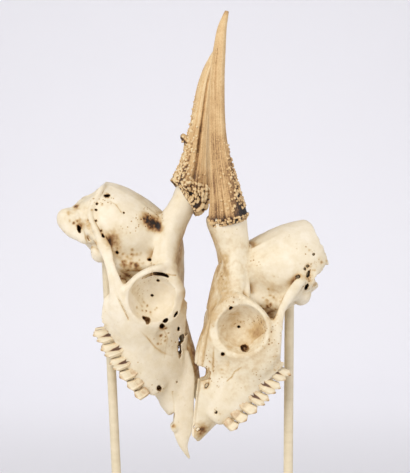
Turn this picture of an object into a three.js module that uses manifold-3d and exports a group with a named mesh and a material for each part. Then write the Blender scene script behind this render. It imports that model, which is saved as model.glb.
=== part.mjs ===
// Two roe buck skulls locked antler to antler, each held on a slim rod over one shared base.
// Units are millimetres and +Z is up. The origin is the centre of the base's underside.
//
// Every skull is shaped in its own frame: X runs forward from the occipital condyles to the
// muzzle, Y to the animal's left and Z up, with Z = 0 at the level of the condyles. The first
// skull is whole and is parted along its main sutures. The second has lost its occipital,
// nasal and premaxillary bones, and is one solid.

import * as THREE from "three";
import { mergeVertices } from "three/addons/utils/BufferGeometryUtils.js";
import Module from "manifold-3d";

const wasm = await Module();
wasm.setup();

// ---- Driving dimensions -------------------------------------------------------------------

const GAP = 0.3; // clearance between bones that meet at a suture
const BASE = { length: 240, depth: 150, height: 18, corner: 6, bevel: 1.5 };
const SLACK = 0.2; // how far a surface may move where small facets are merged
const ROD = { radius: 3.4, socketDepth: 12, topInSkull: 3 };

// Where each skull's frame stands over the base, and how it is turned: it faces along X or
// against it, pitch tips the muzzle down, and turn swings it a little on its upright rod.
const FIRST_SKULL = { at: [-98.4, 10, 257.7], facing: 0, pitch: 54.4, turn: 2 };
const SECOND_SKULL = { at: [107.6, -10, 221.6], facing: 180, pitch: -44.1, turn: 4 };

// The rods, as the point where each leaves the base and the point it holds under the skull.
const FIRST_ROD = { foot: [-54.5, 11.5], seat: [43, 0, 11] };
const SECOND_ROD = { foot: [66.6, -11], seat: [45, 0, 11] };

const MIDLINE = new THREE.Vector3(0, 1, 0); // sideways in a skull's own frame
const ALONG_STALK = new THREE.Vector3(1, 0, 0.5); // across a pedicle, in the skull's own frame

// Each row of a bone box: [along, underside, top, half-width low, at mid-height, at the top].
const BRAINCASE = [
  [-4, 16, 45.5, 10, 14, 9],
  [3, 8, 51, 18, 22, 16],
  [13, 5, 57, 23, 28, 21],
  [27, 6, 62.5, 25, 30, 23.5],
  [42, 10, 66, 23, 28, 24],
  [56, 15, 66, 15, 20, 26],
  [70, 21, 60, 11, 14, 24],
];
const BROW = [
  // the frontal bones where they spread out over the eye sockets
  [60, 50, 66, 24, 24, 20],
  [69, 33, 61.5, 34, 31, 20],
  [79, 22, 54.3, 37.5, 33, 19],
  [90, 15, 45.8, 37, 32, 18],
  [101, 6, 38.5, 32, 28, 17],
  [112, 0, 33.5, 27, 25, 15],
];
const SECOND_BROW = [
  [60, 50, 68, 24, 24, 20],
  [69, 33, 64, 34, 31, 20],
  [79, 22, 57.5, 37.5, 33, 19],
  [90, 15, 50, 37, 32, 18],
  [101, 6, 42.5, 32, 28, 16],
  [112, 0, 35.5, 27, 25, 14],
];
const FACE = [
  [70, -4, 57, 15, 14, 18],
  [82, -13, 51.5, 25, 17, 18],
  [96, -16, 41, 29, 26, 17.5],
  [110, -17.5, 34.5, 28, 27, 15.5],
  [122, -19, 30, 25.5, 24, 14],
  [133, -20, 25.7, 22.5, 21, 12.5],
  [143, -19, 21.3, 16, 16, 11.5],
  [153, -18.8, 17, 13, 13, 10.5],
  [162, -18.8, 10, 12, 12, 9],
];
const NASAL_CAVITY = [
  [108, 8, 30, 12, 13, 8],
  [120, -6, 27, 17, 17, 9.5],
  [132, -11, 22.5, 17, 16.5, 9.5],
  [143, -12.5, 17.5, 12.5, 12.5, 8.5],
  [155, -13, 12, 10, 10, 7.5],
  [176, -13, 12, 10, 10, 7.5],
];
const NASALS = [
  [103, 28, 37, 5, 6, 4],
  [110, 25, 34.3, 9, 9, 6],
  [122, 20, 29.8, 12.5, 12, 7.5],
  [136, 15, 24.6, 12, 11.5, 7],
  [148, 10, 18.8, 10.5, 10, 6],
  [158, 5.5, 13.5, 8, 7.5, 4.5],
  [167, 3.5, 7.5, 3, 3, 2],
];
const PALATE_ARCH = [
  [66, -50, -2, 10, 10, 9],
  [84, -50, -9, 15.5, 15.5, 12],
  [112, -50, -11, 16, 16, 12],
  [134, -50, -13, 11.5, 11.5, 9],
  [150, -50, -15.5, 6, 6, 5],
];

const ORBIT = { at: [85, 23], radius: 20, rim: 2.9, side: 36.5, forwardLean: 5, upwardLean: 4 };
const CHEEK_TEETH = [
  // [length along the jaw, crown height below the gum], from the front premolar back
  [8, 7],
  [8.5, 8.5],
  [8.5, 9.5],
  [10.5, 10.5],
  [11.5, 10.8],
  [11.5, 9.5],
];
const TOOTH_ROW = { front: 138.5, frontSide: 17.2, rearSide: 24.2, gumFront: -20.5, gumRear: -15.5 };

// Antlers: [along, sideways, up, beam diameter] for points from the burr to the tip.
const FIRST_ANTLERS = [
  [40, 19.2, 84.6, 26],
  [37.7, 19.8, 89.2, 30],
  [30.6, 21.6, 96.2, 27],
  [20.8, 24, 106, 19.6],
  [10, 25.5, 116, 15.8],
  [-0.3, 26.5, 125.7, 13],
  [-11.3, 26.5, 135.7, 11.6],
  [-22, 26, 146.4, 10],
  [-31, 24.5, 158.4, 7.6],
  [-38, 22.5, 171, 2.4],
];
const SECOND_ANTLERS = [
  [35.8, 19.5, 83.5, 27],
  [33.3, 20, 87.6, 30.5],
  [27.5, 21.3, 95.5, 26],
  [19.5, 23, 106.8, 20.5],
  [5.3, 24.5, 127, 14.4],
  [-9.6, 25, 144.3, 11.8],
  [-29.7, 25, 164.8, 10.8],
  [-44, 24.3, 177.4, 9],
  [-56.5, 23, 187.5, 6.8],
  [-67.8, 21, 194, 3],
];
const FAR_ANTLER_SHIFT = [-2, 0, -2]; // of the second buck

// ---- Solids from skins of rings -----------------------------------------------------------

// A closed three.js mesh as a manifold-3d solid, with its slivers dropped.
function solid(geometry) {
  const bare = new THREE.BufferGeometry();
  bare.setAttribute("position", geometry.getAttribute("position"));
  if (geometry.index) bare.setIndex(geometry.index);
  const merged = mergeVertices(bare, 1e-4);
  const corners = [];
  for (let i = 0; i < merged.index.count; i += 3) {
    const [a, b, c] = [0, 1, 2].map((k) => merged.index.getX(i + k));
    if (a !== b && b !== c && c !== a) corners.push(a, b, c);
  }
  return new wasm.Manifold(
    new wasm.Mesh({
      numProp: 3,
      vertProperties: merged.attributes.position.array,
      triVerts: new Uint32Array(corners),
    }),
  );
}

// A solid as three.js geometry, with the small facets that joins and cuts leave merged.
function geometryOf(shape) {
  const mesh = shape.simplify(SLACK).getMesh();
  const geometry = new THREE.BufferGeometry();
  geometry.setAttribute("position", new THREE.BufferAttribute(mesh.vertProperties, 3));
  geometry.setIndex(new THREE.BufferAttribute(mesh.triVerts, 1));
  return geometry;
}

// Joins rings of equal count into one closed skin, with a fan over each end.
function skin(rings) {
  const sides = rings[0].length;
  const points = rings.flat();
  const corners = [];
  for (let r = 0; r + 1 < rings.length; r++) {
    for (let k = 0; k < sides; k++) {
      const a = r * sides + k;
      const b = r * sides + ((k + 1) % sides);
      corners.push(a, b, a + sides, b, b + sides, a + sides);
    }
  }
  const centre = (ring) =>
    ring.reduce((sum, p) => sum.add(p), new THREE.Vector3()).divideScalar(sides);
  const first = points.push(centre(rings[0])) - 1;
  const last = points.push(centre(rings.at(-1))) - 1;
  const lastRing = (rings.length - 1) * sides;
  for (let k = 0; k < sides; k++) {
    const next = (k + 1) % sides;
    corners.push(first, next, k, last, lastRing + k, lastRing + next);
  }
  const geometry = new THREE.BufferGeometry().setFromPoints(points);
  geometry.setIndex(corners);
  const made = solid(geometry);
  return made.volume() > 0 ? made : solid(geometry.setIndex(corners.reverse()));
}

// Rows of equal length at even steps along a smooth curve through the given ones.
function smoothRows(rows, steps) {
  const at = (i) => rows[Math.min(Math.max(i, 0), rows.length - 1)];
  return Array.from({ length: steps + 1 }, (_, s) => {
    const place = (s / steps) * (rows.length - 1);
    const i = Math.min(Math.floor(place), rows.length - 2);
    const t = place - i;
    return rows[i].map((_, k) => {
      const [p, q, r, z] = [at(i - 1)[k], at(i)[k], at(i + 1)[k], at(i + 2)[k]];
      const bend = 2 * p - 5 * q + 4 * r - z;
      const lift = 3 * q - p - 3 * r + z;
      return q + 0.5 * t * (r - p + t * (bend + t * lift));
    });
  });
}

// A box of bone: each ring is a superellipse whose half-width changes with height.
function boneBox(rows, { sides, steps, power = 2.6, grow = 0 }) {
  const rounded = (value) => Math.sign(value) * Math.abs(value) ** (2 / power);
  const rings = smoothRows(rows, steps).map(([along, low, high, lowHalf, midHalf, highHalf]) =>
    Array.from({ length: sides }, (_, k) => {
      const turn = (2 * Math.PI * k) / sides;
      const height = (1 + rounded(Math.cos(turn))) / 2;
      const half =
        2 * (height - 0.5) * (height - 1) * lowHalf -
        4 * height * (height - 1) * midHalf +
        2 * height * (height - 0.5) * highHalf;
      const lift = low - grow + (high - low + 2 * grow) * height;
      return new THREE.Vector3(along, rounded(Math.sin(turn)) * (half + grow), lift);
    }),
  );
  return skin(rings);
}

// A limb of bone along a curve. Each row is [along, sideways, up, half-width, half-depth], the
// width lying along the given direction.
function limb(rows, across, { sides = 5, steps = rows.length - 1, grow = 0 } = {}) {
  const stations = smoothRows(rows, steps);
  const centres = stations.map(([x, y, z]) => new THREE.Vector3(x, y, z));
  const rings = stations.map(([, , , width, depth], i) => {
    const before = centres[Math.max(i - 1, 0)];
    const after = centres[Math.min(i + 1, centres.length - 1)];
    const forward = after.clone().sub(before).normalize();
    const wide = across.clone().addScaledVector(forward, -across.dot(forward)).normalize();
    const deep = new THREE.Vector3().crossVectors(forward, wide);
    return Array.from({ length: sides }, (_, k) => {
      const turn = (2 * Math.PI * k) / sides;
      return centres[i]
        .clone()
        .addScaledVector(wide, Math.cos(turn) * (width + grow))
        .addScaledVector(deep, Math.sin(turn) * (depth + grow));
    });
  });
  return skin(rings);
}

function ellipsoid([x, y, z], [length, width, height], { pitch = 0, sides = 6 } = {}) {
  const ball = new THREE.SphereGeometry(1, sides, Math.round(sides * 0.6));
  ball.scale(length, width, height);
  ball.rotateY(THREE.MathUtils.degToRad(pitch));
  return solid(ball.translate(x, y, z));
}

function box([x, y, z], [length, width, height], pitch = 0) {
  const cube = new THREE.BoxGeometry(length, width, height);
  cube.rotateY(THREE.MathUtils.degToRad(pitch));
  return solid(cube.translate(x, y, z));
}

const both = (half) => half.add(half.mirror([0, 1, 0]));
const joined = (shapes) => shapes.reduce((sum, shape) => sum.add(shape));

// ---- The bones of one skull ---------------------------------------------------------------

// The raised ring of bone round one eye socket, leaning a little forward and up.
function orbitRim() {
  const { at, radius, rim, side, forwardLean, upwardLean } = ORBIT;
  const ring = new THREE.TorusGeometry(radius, rim, 5, 12);
  const spots = ring.getAttribute("position");
  for (let i = 0; i < spots.count; i++) {
    const [ahead, up, out] = [spots.getX(i), spots.getY(i), spots.getZ(i)];
    const lean = (forwardLean * ahead + upwardLean * up) / radius;
    spots.setXYZ(i, at[0] + ahead, side - lean - out, at[1] + up);
  }
  return solid(ring);
}

// The socket itself, a deep cup that narrows towards the midline.
function orbitCup() {
  return ellipsoid([ORBIT.at[0], 49, ORBIT.at[1]], [18.4, 34, 18.2], { sides: 10 });
}

// The cheek bone and the arch that it sends back to the ear, with the bar behind the eye.
function cheekAndArch() {
  const arch = [
    [103, 28, -1, 4, 8.5],
    [87, 35.5, -1.5, 3.5, 8],
    [76, 39.5, 2, 2.8, 6.2],
    [67, 41.5, 6, 2.6, 4.2],
    [57, 42, 10, 2.5, 3.2],
    [46, 40, 13.5, 2.5, 3.6],
    [36, 34.5, 15.8, 2.8, 4.2],
    [26, 27, 17, 3, 4.5],
  ];
  const barBehindEye = [
    [76, 24, 51, 4.5, 4],
    [69.5, 33, 43, 4, 3.2],
    [66, 39.5, 28, 3.8, 2.6],
    [67.5, 41, 9, 4.5, 2.6],
  ];
  return limb(arch, MIDLINE, { steps: 7 }).add(
    limb(barBehindEye, MIDLINE, { steps: 3 }),
  );
}

// The sharp crest that runs from the top of the occiput down to the root of the arch.
function nuchalCrest() {
  const ridge = [
    [-4.3, 0, 44.4, 2.2, 2],
    [-1.5, 11, 41.5, 2.2, 2],
    [4, 20.5, 31, 2.2, 2],
    [10, 27, 22, 2.4, 2.4],
    [23, 29, 17.5, 2.4, 2.6],
  ];
  return limb(ridge, new THREE.Vector3(1, 0, 0), { sides: 5, steps: 5 });
}

function pedicle() {
  const stalk = [
    [55, 13.5, 52, 14, 12],
    [51, 15, 60, 11.5, 10.5],
    [45.5, 17, 71, 9.6, 9.2],
    [40, 18.8, 81, 9.2, 9],
    [37, 19.7, 87, 9.8, 9.4],
  ];
  return limb(stalk, ALONG_STALK, { sides: 7, steps: 3 });
}

// A row of cheek teeth, six tapering pillars set in the jaw's edge.
function toothRow() {
  const { front, frontSide, rearSide, gumFront, gumRear } = TOOTH_ROW;
  const [rootDepth, halfBreadth] = [9, 5.2];
  const rowLength = CHEEK_TEETH.reduce((sum, [length]) => sum + length, 0);
  const pillars = [];
  let place = 0;
  for (const [length, crown] of CHEEK_TEETH) {
    const share = (place + length / 2) / rowLength;
    const side = frontSide + (rearSide - frontSide) * Math.sin((share * Math.PI) / 2);
    const gum = gumFront + (gumRear - gumFront) * share;
    const pillar = new THREE.CylinderGeometry(0.84, 1, crown + rootDepth, 6);
    pillar.rotateX(-Math.PI / 2);
    pillar.scale(length * 0.56, halfBreadth, 1);
    pillar.translate(front - share * rowLength, side, gum + (rootDepth - crown) / 2);
    pillars.push(solid(pillar));
    place += length;
  }
  return joined(pillars);
}

// The under-surface of the braincase: the midline bar and the ear capsules.
function skullBase() {
  const bar = limb(
    [
      [14, 0, 9, 9, 4],
      [34, 0, 11, 7.5, 4.5],
      [56, 0, 14, 6, 5],
      [76, 0, 12, 4.5, 7],
    ],
    MIDLINE,
  );
  const earCapsule = ellipsoid([35, 16, 9], [8, 6, 6.5]);
  const earTube = ellipsoid([19, 21.5, 14], [10, 7, 7.5]);
  return joined([bar, both(earCapsule), both(earTube)]);
}

// The thin wing of bone on one side of the way from nose to throat.
function throatWing() {
  const wing = [
    [84, 11.5, -4, 1.4, 6],
    [72, 10.5, 3, 1.3, 7],
    [60, 9.5, 10, 1.3, 5],
  ];
  return limb(wing, MIDLINE, { sides: 4 });
}

// The back of the skull, with the two condyles that met the neck and a spur beside each.
function occipital() {
  const squama = ellipsoid([3, 0, 24], [7.5, 20, 21], { sides: 8 });
  const condyle = ellipsoid([1, 9, 4], [7.5, 6.6, 7]);
  const spur = ellipsoid([22, 18.5, 9], [5, 3.5, 6.5], { sides: 6 });
  return joined([squama, both(condyle), both(spur)]);
}

// What is cut away inside: the nose, the roof of the mouth and the way from nose to throat.
function innerHollows() {
  const nose = boneBox(NASAL_CAVITY, { sides: 8, steps: 5 });
  const mouth = boneBox(PALATE_ARCH, { sides: 8, power: 3.4, steps: 4 });
  const throat = boneBox(
    [
      [58, -30, 5, 8.5, 8.5, 7.5],
      [80, -30, -2, 9.5, 9.5, 8.5],
    ],
    { sides: 8, steps: 1 },
  );
  return joined([nose, mouth, throat]);
}

// Everything ahead of the slanting edge where the upper jaw meets the premaxilla.
function noseNotch() {
  const [rear, front] = [new THREE.Vector2(130, 16.4), new THREE.Vector2(161, -8.5)];
  const edge = front.clone().sub(rear);
  const slope = Math.atan2(-edge.y, edge.x);
  const reach = 60;
  const middle = rear.clone().add(front).multiplyScalar(0.5);
  const x = middle.x + (Math.sin(slope) * reach) / 2;
  const z = middle.y + (Math.cos(slope) * reach) / 2;
  return box([x, 0, z], [edge.length() + 4, 60, reach], THREE.MathUtils.radToDeg(slope));
}

// One skull as a single body of bone, without antlers, nasals and premaxillae. A worn jaw is
// hollowed ahead of its teeth.
function skullBody({ whole }) {
  const face = whole ? FACE : FACE.map((row) => (row[0] > 140 ? raised(row, 5) : row));
  const shell = joined([
    boneBox(BRAINCASE, { sides: 10, steps: 6 }),
    boneBox(whole ? BROW : SECOND_BROW, { sides: 9, steps: 4 }),
    boneBox(face, { sides: 10, steps: 6 }).subtract(noseNotch()),
    skullBase(),
    both(orbitRim()),
    both(cheekAndArch()),
    both(ellipsoid([89, 23, -6], [18.5, 8.5, 12.5], { sides: 8 })),
    both(pedicle()),
  ]);
  const hollows = [
    innerHollows(),
    both(orbitCup()),
    both(ellipsoid([122, 19, 19.6], [10.5, 11, 2.8], { pitch: 29, sides: 6 })),
  ];
  const body = whole ? joined([shell, occipital(), both(throatWing())]) : shell;
  const carved = joined([body.subtract(joined(hollows)), both(toothRow())]);
  if (!whole) return carved;
  const neckHole = ellipsoid([-3, 0, 13], [14, 8, 7.5]);
  return carved.add(both(nuchalCrest())).subtract(neckHole);
}

const raised = ([along, low, ...rest], lift) => [along, low + lift, ...rest];

// The braincase's inside, open to the back where the occipital bone is lost, and the broken
// edge below it.
function lostOccipital() {
  const inside = boneBox(
    [
      [-14, 22, 40, 12, 14, 11],
      [2, 18, 43.5, 14, 17, 12],
      [14, 12, 50.5, 19, 24, 17],
      [30, 11, 57, 21, 26, 20],
      [46, 15, 61, 16, 21, 19],
    ],
    { sides: 10, steps: 5 },
  );
  const below = box([0, 0, 0], [36, 80, 31]);
  const behind = box([-7.6, 0, 15], [20, 80, 60], -33);
  return joined([inside, below, behind]);
}

function nasalBones(grow) {
  return boneBox(NASALS, { sides: 8, steps: 5, grow });
}

// One premaxilla, a plate that climbs from the muzzle's tip back beside the nose opening.
function premaxilla(grow) {
  const plate = [
    [194, 3.4, -24.2, 1.6, 1],
    [187, 6, -21, 2, 3.4],
    [178, 8.8, -17, 2, 6],
    [168, 10.8, -9.5, 1.8, 7.2],
    [157, 12, 0.5, 1.5, 5.6],
    [145, 12.6, 11, 1.4, 4.6],
    [131, 12.6, 19.5, 1.2, 1.6],
  ];
  return limb(plate, MIDLINE, { steps: 7, grow });
}

function antler(points, grow = 0) {
  const rows = points.map(([x, y, z, size]) => [x, y, z, size / 2, size / 2]);
  return limb(rows, ALONG_STALK, { sides: 8, steps: 9, grow });
}

// The small spur on the back of the first buck's near antler.
function antlerSpur() {
  const spur = [
    [20, 24, 110, 4, 4],
    [9, 24, 113.5, 3, 3],
    [0, 23.5, 112, 2, 2],
  ];
  return limb(spur, MIDLINE, { sides: 6, steps: 3 });
}

// ---- Placing the skulls, and the stand ----------------------------------------------------

function skullFrame({ at, facing, pitch, turn }) {
  const [faced, pitched, turned] = [facing, pitch, turn].map(THREE.MathUtils.degToRad);
  const frame = new THREE.Matrix4().makeRotationZ(turned);
  frame.multiply(new THREE.Matrix4().makeRotationY(pitched));
  frame.multiply(new THREE.Matrix4().makeRotationZ(faced));
  return frame.setPosition(...at);
}

// A rod from the bottom of its socket in the base to its seat inside the skull.
function rod({ foot, seat }, frame, grow = 0) {
  const top = new THREE.Vector3(...seat).applyMatrix4(frame);
  const floor = new THREE.Vector3(foot[0], foot[1], BASE.height);
  const lean = top.clone().sub(floor).normalize();
  const bottom = floor.addScaledVector(lean, -ROD.socketDepth - grow);
  const end = top.addScaledVector(lean, ROD.topInSkull + grow);
  const length = bottom.distanceTo(end);
  const radius = ROD.radius + grow;
  const dowel = new THREE.CylinderGeometry(radius, radius, length, 12);
  const turn = new THREE.Quaternion().setFromUnitVectors(new THREE.Vector3(0, 1, 0), lean);
  dowel.applyQuaternion(turn);
  return dowel.translate(...bottom.add(end).multiplyScalar(0.5));
}

function baseBoard(rods) {
  const { length, depth, height, corner, bevel } = BASE;
  const [x, y] = [length / 2 - bevel, depth / 2 - bevel];
  const outline = new THREE.Shape();
  outline.absarc(x - corner, y - corner, corner, 0, Math.PI / 2);
  outline.absarc(corner - x, y - corner, corner, Math.PI / 2, Math.PI);
  outline.absarc(corner - x, corner - y, corner, Math.PI, Math.PI * 1.5);
  outline.absarc(x - corner, corner - y, corner, Math.PI * 1.5, Math.PI * 2);
  const board = new THREE.ExtrudeGeometry(outline, {
    depth: height - 2 * bevel,
    bevelThickness: bevel,
    bevelSize: bevel,
    bevelSegments: 1,
    curveSegments: 2,
  }).translate(0, 0, bevel);
  return rods.reduce((sum, socket) => sum.subtract(solid(socket)), solid(board));
}

const firstFrame = skullFrame(FIRST_SKULL);
const secondFrame = skullFrame(SECOND_SKULL);

// The hole that a rod needs, in the skull's own frame.
function rodHole(spec, frame) {
  return solid(rod(spec, frame, GAP).applyMatrix4(frame.clone().invert()));
}

// ---- The first skull, parted along its sutures --------------------------------------------

const SUTURES = [
  // [centre, size, pitch] of each thin saw-cut
  [[58, 0, 30], [GAP, 62, 150], 0],
  [[98, 0, 11], [GAP, 110, 90], 41.4],
  [[38.5, 41, 14], [GAP, 18, 30], 0],
  [[38.5, -41, 14], [GAP, 18, 30], 0],
  [[61.5, 42, 12], [GAP, 18, 24], 0],
  [[61.5, -42, 12], [GAP, 18, 24], 0],
  [[46, 0, 71.5], [60, 90, GAP], -28],
];
const BONES = {
  // a point inside each bone, which tells the parted pieces apart
  braincase: [30, 0, 50],
  frontals_and_orbits: [75, 0, 50],
  upper_jaws_and_teeth: [125, 19, -15],
  zygomatic_arch_right: [50, -41.3, 14.5],
  zygomatic_arch_left: [50, 41.3, 14.5],
  pedicle_right: [40, -18.8, 81],
  pedicle_left: [40, 18.8, 81],
};

function firstSkullBones() {
  const premaxillaLeft = premaxilla(0);
  const cuts = SUTURES.map(([at, size, pitch]) => box(at, size, pitch));
  const burrs = both(antler(FIRST_ANTLERS, GAP));
  const whole = skullBody({ whole: true })
    .subtract(nasalBones(GAP))
    .subtract(both(premaxilla(GAP)))
    .subtract(burrs)
    .subtract(rodHole(FIRST_ROD, firstFrame))
    .subtract(joined(cuts));
  const pieces = whole.decompose();
  const bones = {};
  for (const [name, inside] of Object.entries(BONES)) {
    const probe = box(inside, [1, 1, 1]);
    bones[name] = pieces.find((piece) => piece.intersect(probe).volume() > 0);
  }
  bones.nasals = nasalBones(0).subtract(both(premaxilla(GAP)));
  bones.premaxilla_left = premaxillaLeft;
  bones.premaxilla_right = premaxillaLeft.mirror([0, 1, 0]);
  bones.antler_left = antler(FIRST_ANTLERS);
  bones.antler_right = antler(FIRST_ANTLERS).mirror([0, 1, 0]).add(
    antlerSpur().mirror([0, 1, 0]),
  );
  return bones;
}

// The far antler sits a little off its pedicle, so the pair lies in one line from the side.
function secondSkull() {
  const nearAntler = antler(SECOND_ANTLERS);
  const farAntler = nearAntler.mirror([0, 1, 0]).translate(FAR_ANTLER_SHIFT);
  return skullBody({ whole: false })
    .subtract(nasalBones(GAP))
    .subtract(lostOccipital())
    .add(nearAntler)
    .add(farAntler)
    .subtract(rodHole(SECOND_ROD, secondFrame));
}

// ---- The scene ----------------------------------------------------------------------------

const bone = new THREE.MeshStandardMaterial({ color: 0xe9dcc0, roughness: 0.62, metalness: 0 });
const horn = new THREE.MeshStandardMaterial({ color: 0xb98f5f, roughness: 0.7, metalness: 0 });
const paint = new THREE.MeshStandardMaterial({ color: 0xe3d8bd, roughness: 0.5, metalness: 0 });

function named(name, geometry, material) {
  const mesh = new THREE.Mesh(geometry, material);
  mesh.name = name;
  return mesh;
}

const display = new THREE.Group();

const firstGroup = new THREE.Group();
firstGroup.applyMatrix4(firstFrame);
for (const [name, shape] of Object.entries(firstSkullBones())) {
  const material = name.startsWith("antler") ? horn : bone;
  firstGroup.add(named(name, geometryOf(shape), material));
}

const secondGroup = new THREE.Group();
secondGroup.applyMatrix4(secondFrame);
secondGroup.add(named("second_skull", geometryOf(secondSkull()), bone));

const sockets = [
  rod(FIRST_ROD, firstFrame, GAP),
  rod(SECOND_ROD, secondFrame, GAP),
];
display.add(firstGroup, secondGroup);
display.add(named("stand_rod_first", rod(FIRST_ROD, firstFrame), paint));
display.add(named("stand_rod_second", rod(SECOND_ROD, secondFrame), paint));
display.add(named("stand_base", geometryOf(baseBoard(sockets)), paint));

export default display;
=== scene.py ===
# Two roe buck skulls, muzzles down and antlers crossed, each held on a slim painted rod over
# one painted board. Lengths are in millimetres until a mesh is made, and are metres from then.

from math import cos, pi, radians, sin

import bpy
import numpy as np
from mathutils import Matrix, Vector


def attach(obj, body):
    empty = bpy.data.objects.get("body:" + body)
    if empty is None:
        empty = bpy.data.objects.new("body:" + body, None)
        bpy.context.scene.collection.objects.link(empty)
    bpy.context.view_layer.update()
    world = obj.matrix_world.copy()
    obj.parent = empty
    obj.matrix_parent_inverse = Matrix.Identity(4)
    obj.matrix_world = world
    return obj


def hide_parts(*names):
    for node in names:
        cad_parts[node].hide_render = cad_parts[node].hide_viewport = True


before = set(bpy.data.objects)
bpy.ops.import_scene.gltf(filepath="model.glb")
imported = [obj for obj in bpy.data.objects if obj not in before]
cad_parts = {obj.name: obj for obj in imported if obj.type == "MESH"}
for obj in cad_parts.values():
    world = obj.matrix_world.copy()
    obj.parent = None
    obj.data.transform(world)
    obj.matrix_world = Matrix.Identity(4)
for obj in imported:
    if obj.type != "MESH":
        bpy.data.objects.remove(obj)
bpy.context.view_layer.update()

# ---- The bone of the first skull -----------------------------------------------------------
# A boiled and air-dried roe buck skull, whole but for its lower jaw. Each bone was a soft
# plate that grew over brain, eye and nose, so the skull is worked as one smooth body of bone:
# masses are melted together and the hollows are carved out, and its surface is then skinned.

MM = 0.001
STEP = 0.72  # mm between the points at which the bone is sampled
AIR = 12.0  # mm, the greatest distance from the bone that is kept
MARGIN = 8  # mm, worked round each form for the corner that is filled
ACROSS = (0, 1, 0)  # sideways in a skull's own frame
ALONG_STALK = (1, 0, 0.5)  # across a pedicle or an antler

FIRST_SKULL = {"at": (-98.4, 10, 257.7), "facing": 0, "pitch": 54.4, "turn": 2}

# Rows of a bone box: along, underside, top, half-width low, at mid-height, at the top.
BRAINCASE = [
    (-4, 16, 45.5, 10, 14, 9),
    (3, 8, 51, 18, 22, 16),
    (13, 5, 57, 23, 28, 21),
    (27, 6, 62.5, 25, 30, 23.5),
    (42, 10, 66, 23, 28, 23),
    (56, 14, 66, 17, 20.5, 21),
    (70, 21, 60, 11, 14, 20),
]
BROW = [
    (60, 50, 66, 24, 24, 20),
    (69, 33, 61.5, 34, 31, 20),
    (79, 22, 54.3, 37.5, 33, 19),
    (90, 15, 45.8, 37, 32, 18),
    (101, 6, 38.5, 32, 28, 17),
    (112, 0, 33.5, 27, 25, 15),
]
FACE = [
    (70, -4, 57, 15, 14, 18),
    (82, -13, 51.5, 27, 20, 18),
    (96, -16, 41, 30.5, 28.5, 17.5),
    (110, -17.5, 34.5, 29, 28, 15.5),
    (122, -19, 30, 25.5, 24, 14),
    (133, -20, 25.7, 22.5, 21, 12.5),
    (143, -19, 21.3, 16, 16, 11.5),
    (153, -18.8, 17, 13, 13, 10.5),
    (162, -18.8, 10, 12, 12, 9),
]
NASAL_CAVITY = [
    (108, 8, 30, 12, 13, 8),
    (120, -6, 27, 17, 17, 9.5),
    (132, -11, 22.5, 17, 16.5, 9.5),
    (143, -12.5, 17.5, 12.5, 12.5, 8.5),
    (155, -13, 12, 10, 10, 7.5),
    (176, -13, 12, 10, 10, 7.5),
]
NASALS = [
    (103, 28, 37, 5, 6, 4),
    (110, 25, 34.3, 9, 9, 6),
    (122, 20, 29.8, 12.5, 12, 7.5),
    (136, 15, 24.6, 12, 11.5, 7),
    (148, 10, 18.8, 10.5, 10, 6),
    (158, 5.5, 13.5, 8, 7.5, 4.5),
    (167, 3.5, 7.5, 3, 3, 2),
]
PALATE_ARCH = [
    (66, -50, -2, 10, 10, 9),
    (84, -50, -9, 15.5, 15.5, 12),
    (112, -50, -11, 16, 16, 12),
    (134, -50, -13, 11.5, 11.5, 9),
    (150, -50, -15.5, 6, 6, 5),
]
THROAT = [(58, -30, 5, 8.5, 8.5, 7.5), (80, -30, -2, 9.5, 9.5, 8.5)]

# Rows of a limb: along, sideways, up, half-width, half-depth.
FIRST_CHEEK_ARCH = [
    (106, 27, -1.5, 4, 9),
    (96, 31.5, -2.5, 4.5, 10),
    (86, 35.2, -2, 3.6, 9.5),
    (76, 39.2, 0, 2.6, 8),
    (67, 41.2, 3.6, 2, 6),
    (56.7, 42, 7.5, 1.7, 4.4),
    (50.5, 41.3, 9.7, 1.7, 3.7),
    (44, 39.3, 12, 1.9, 3.6),
    (36, 34.5, 14.8, 2.4, 4.6),
    (27, 28, 16, 3, 4.6),
]
BAR_BEHIND_EYE = [
    (74, 27, 47, 4, 3),
    (69, 34, 40.5, 3.4, 2.4),
    (66.5, 39, 28, 2.8, 2),
    (67.5, 41, 9, 3.4, 2.2),
]
NECK_OF_CONDYLE = [(4, 9.5, 7, 5, 5), (7, 12, 20, 6, 6)]
ROOT_OF_CONDYLE = [(2, 9, 4, 5, 5.5), (9, 12, 3.8, 5, 6), (17, 15, 7.4, 4.5, 5.5)]
NUCHAL_CREST = [
    (-2.8, 0, 43.6, 2, 1.4),
    (-2.5, 11, 41.5, 2, 1.4),
    (-1.5, 19, 37, 2, 1.3),
    (3.8, 24, 26.4, 2.2, 1.3),
    (8.5, 26.5, 20.8, 2.2, 1.4),
    (18.3, 29, 17.9, 2.2, 1.8),
    (27, 30, 16.4, 2.4, 2.2),
]
FIRST_PEDICLE = [
    (55, 13.5, 52, 14, 12),
    (51.2, 15, 60, 11.5, 10.5),
    (46, 17, 71, 9.8, 9.2),
    (40.9, 18.8, 81.5, 9.4, 9),
    (37.9, 19.7, 87.5, 10, 9.4),
]
SKULL_BASE = [(14, 0, 9, 9, 4), (34, 0, 11, 7.5, 4.5), (56, 0, 14, 6, 5), (76, 0, 12, 4.5, 7)]
FRONTAL_STRUT = [
    (46, 17, 69, 9.2, 9),
    (56, 20.5, 57.5, 9, 8.6),
    (64, 24, 49, 8.2, 8),
    (72, 27, 44, 7, 6.5),
    (90, 28, 39.5, 6, 5),
]
EDGE_OF_STRUT = [
    (41, 19.5, 66, 1.5, 1.5),
    (46, 22, 59, 1.6, 1.6),
    (53, 23.5, 49.5, 1.8, 1.8),
    (59, 26, 42.5, 1.8, 1.8),
    (65, 30, 37.5, 1.6, 1.6),
]
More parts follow.
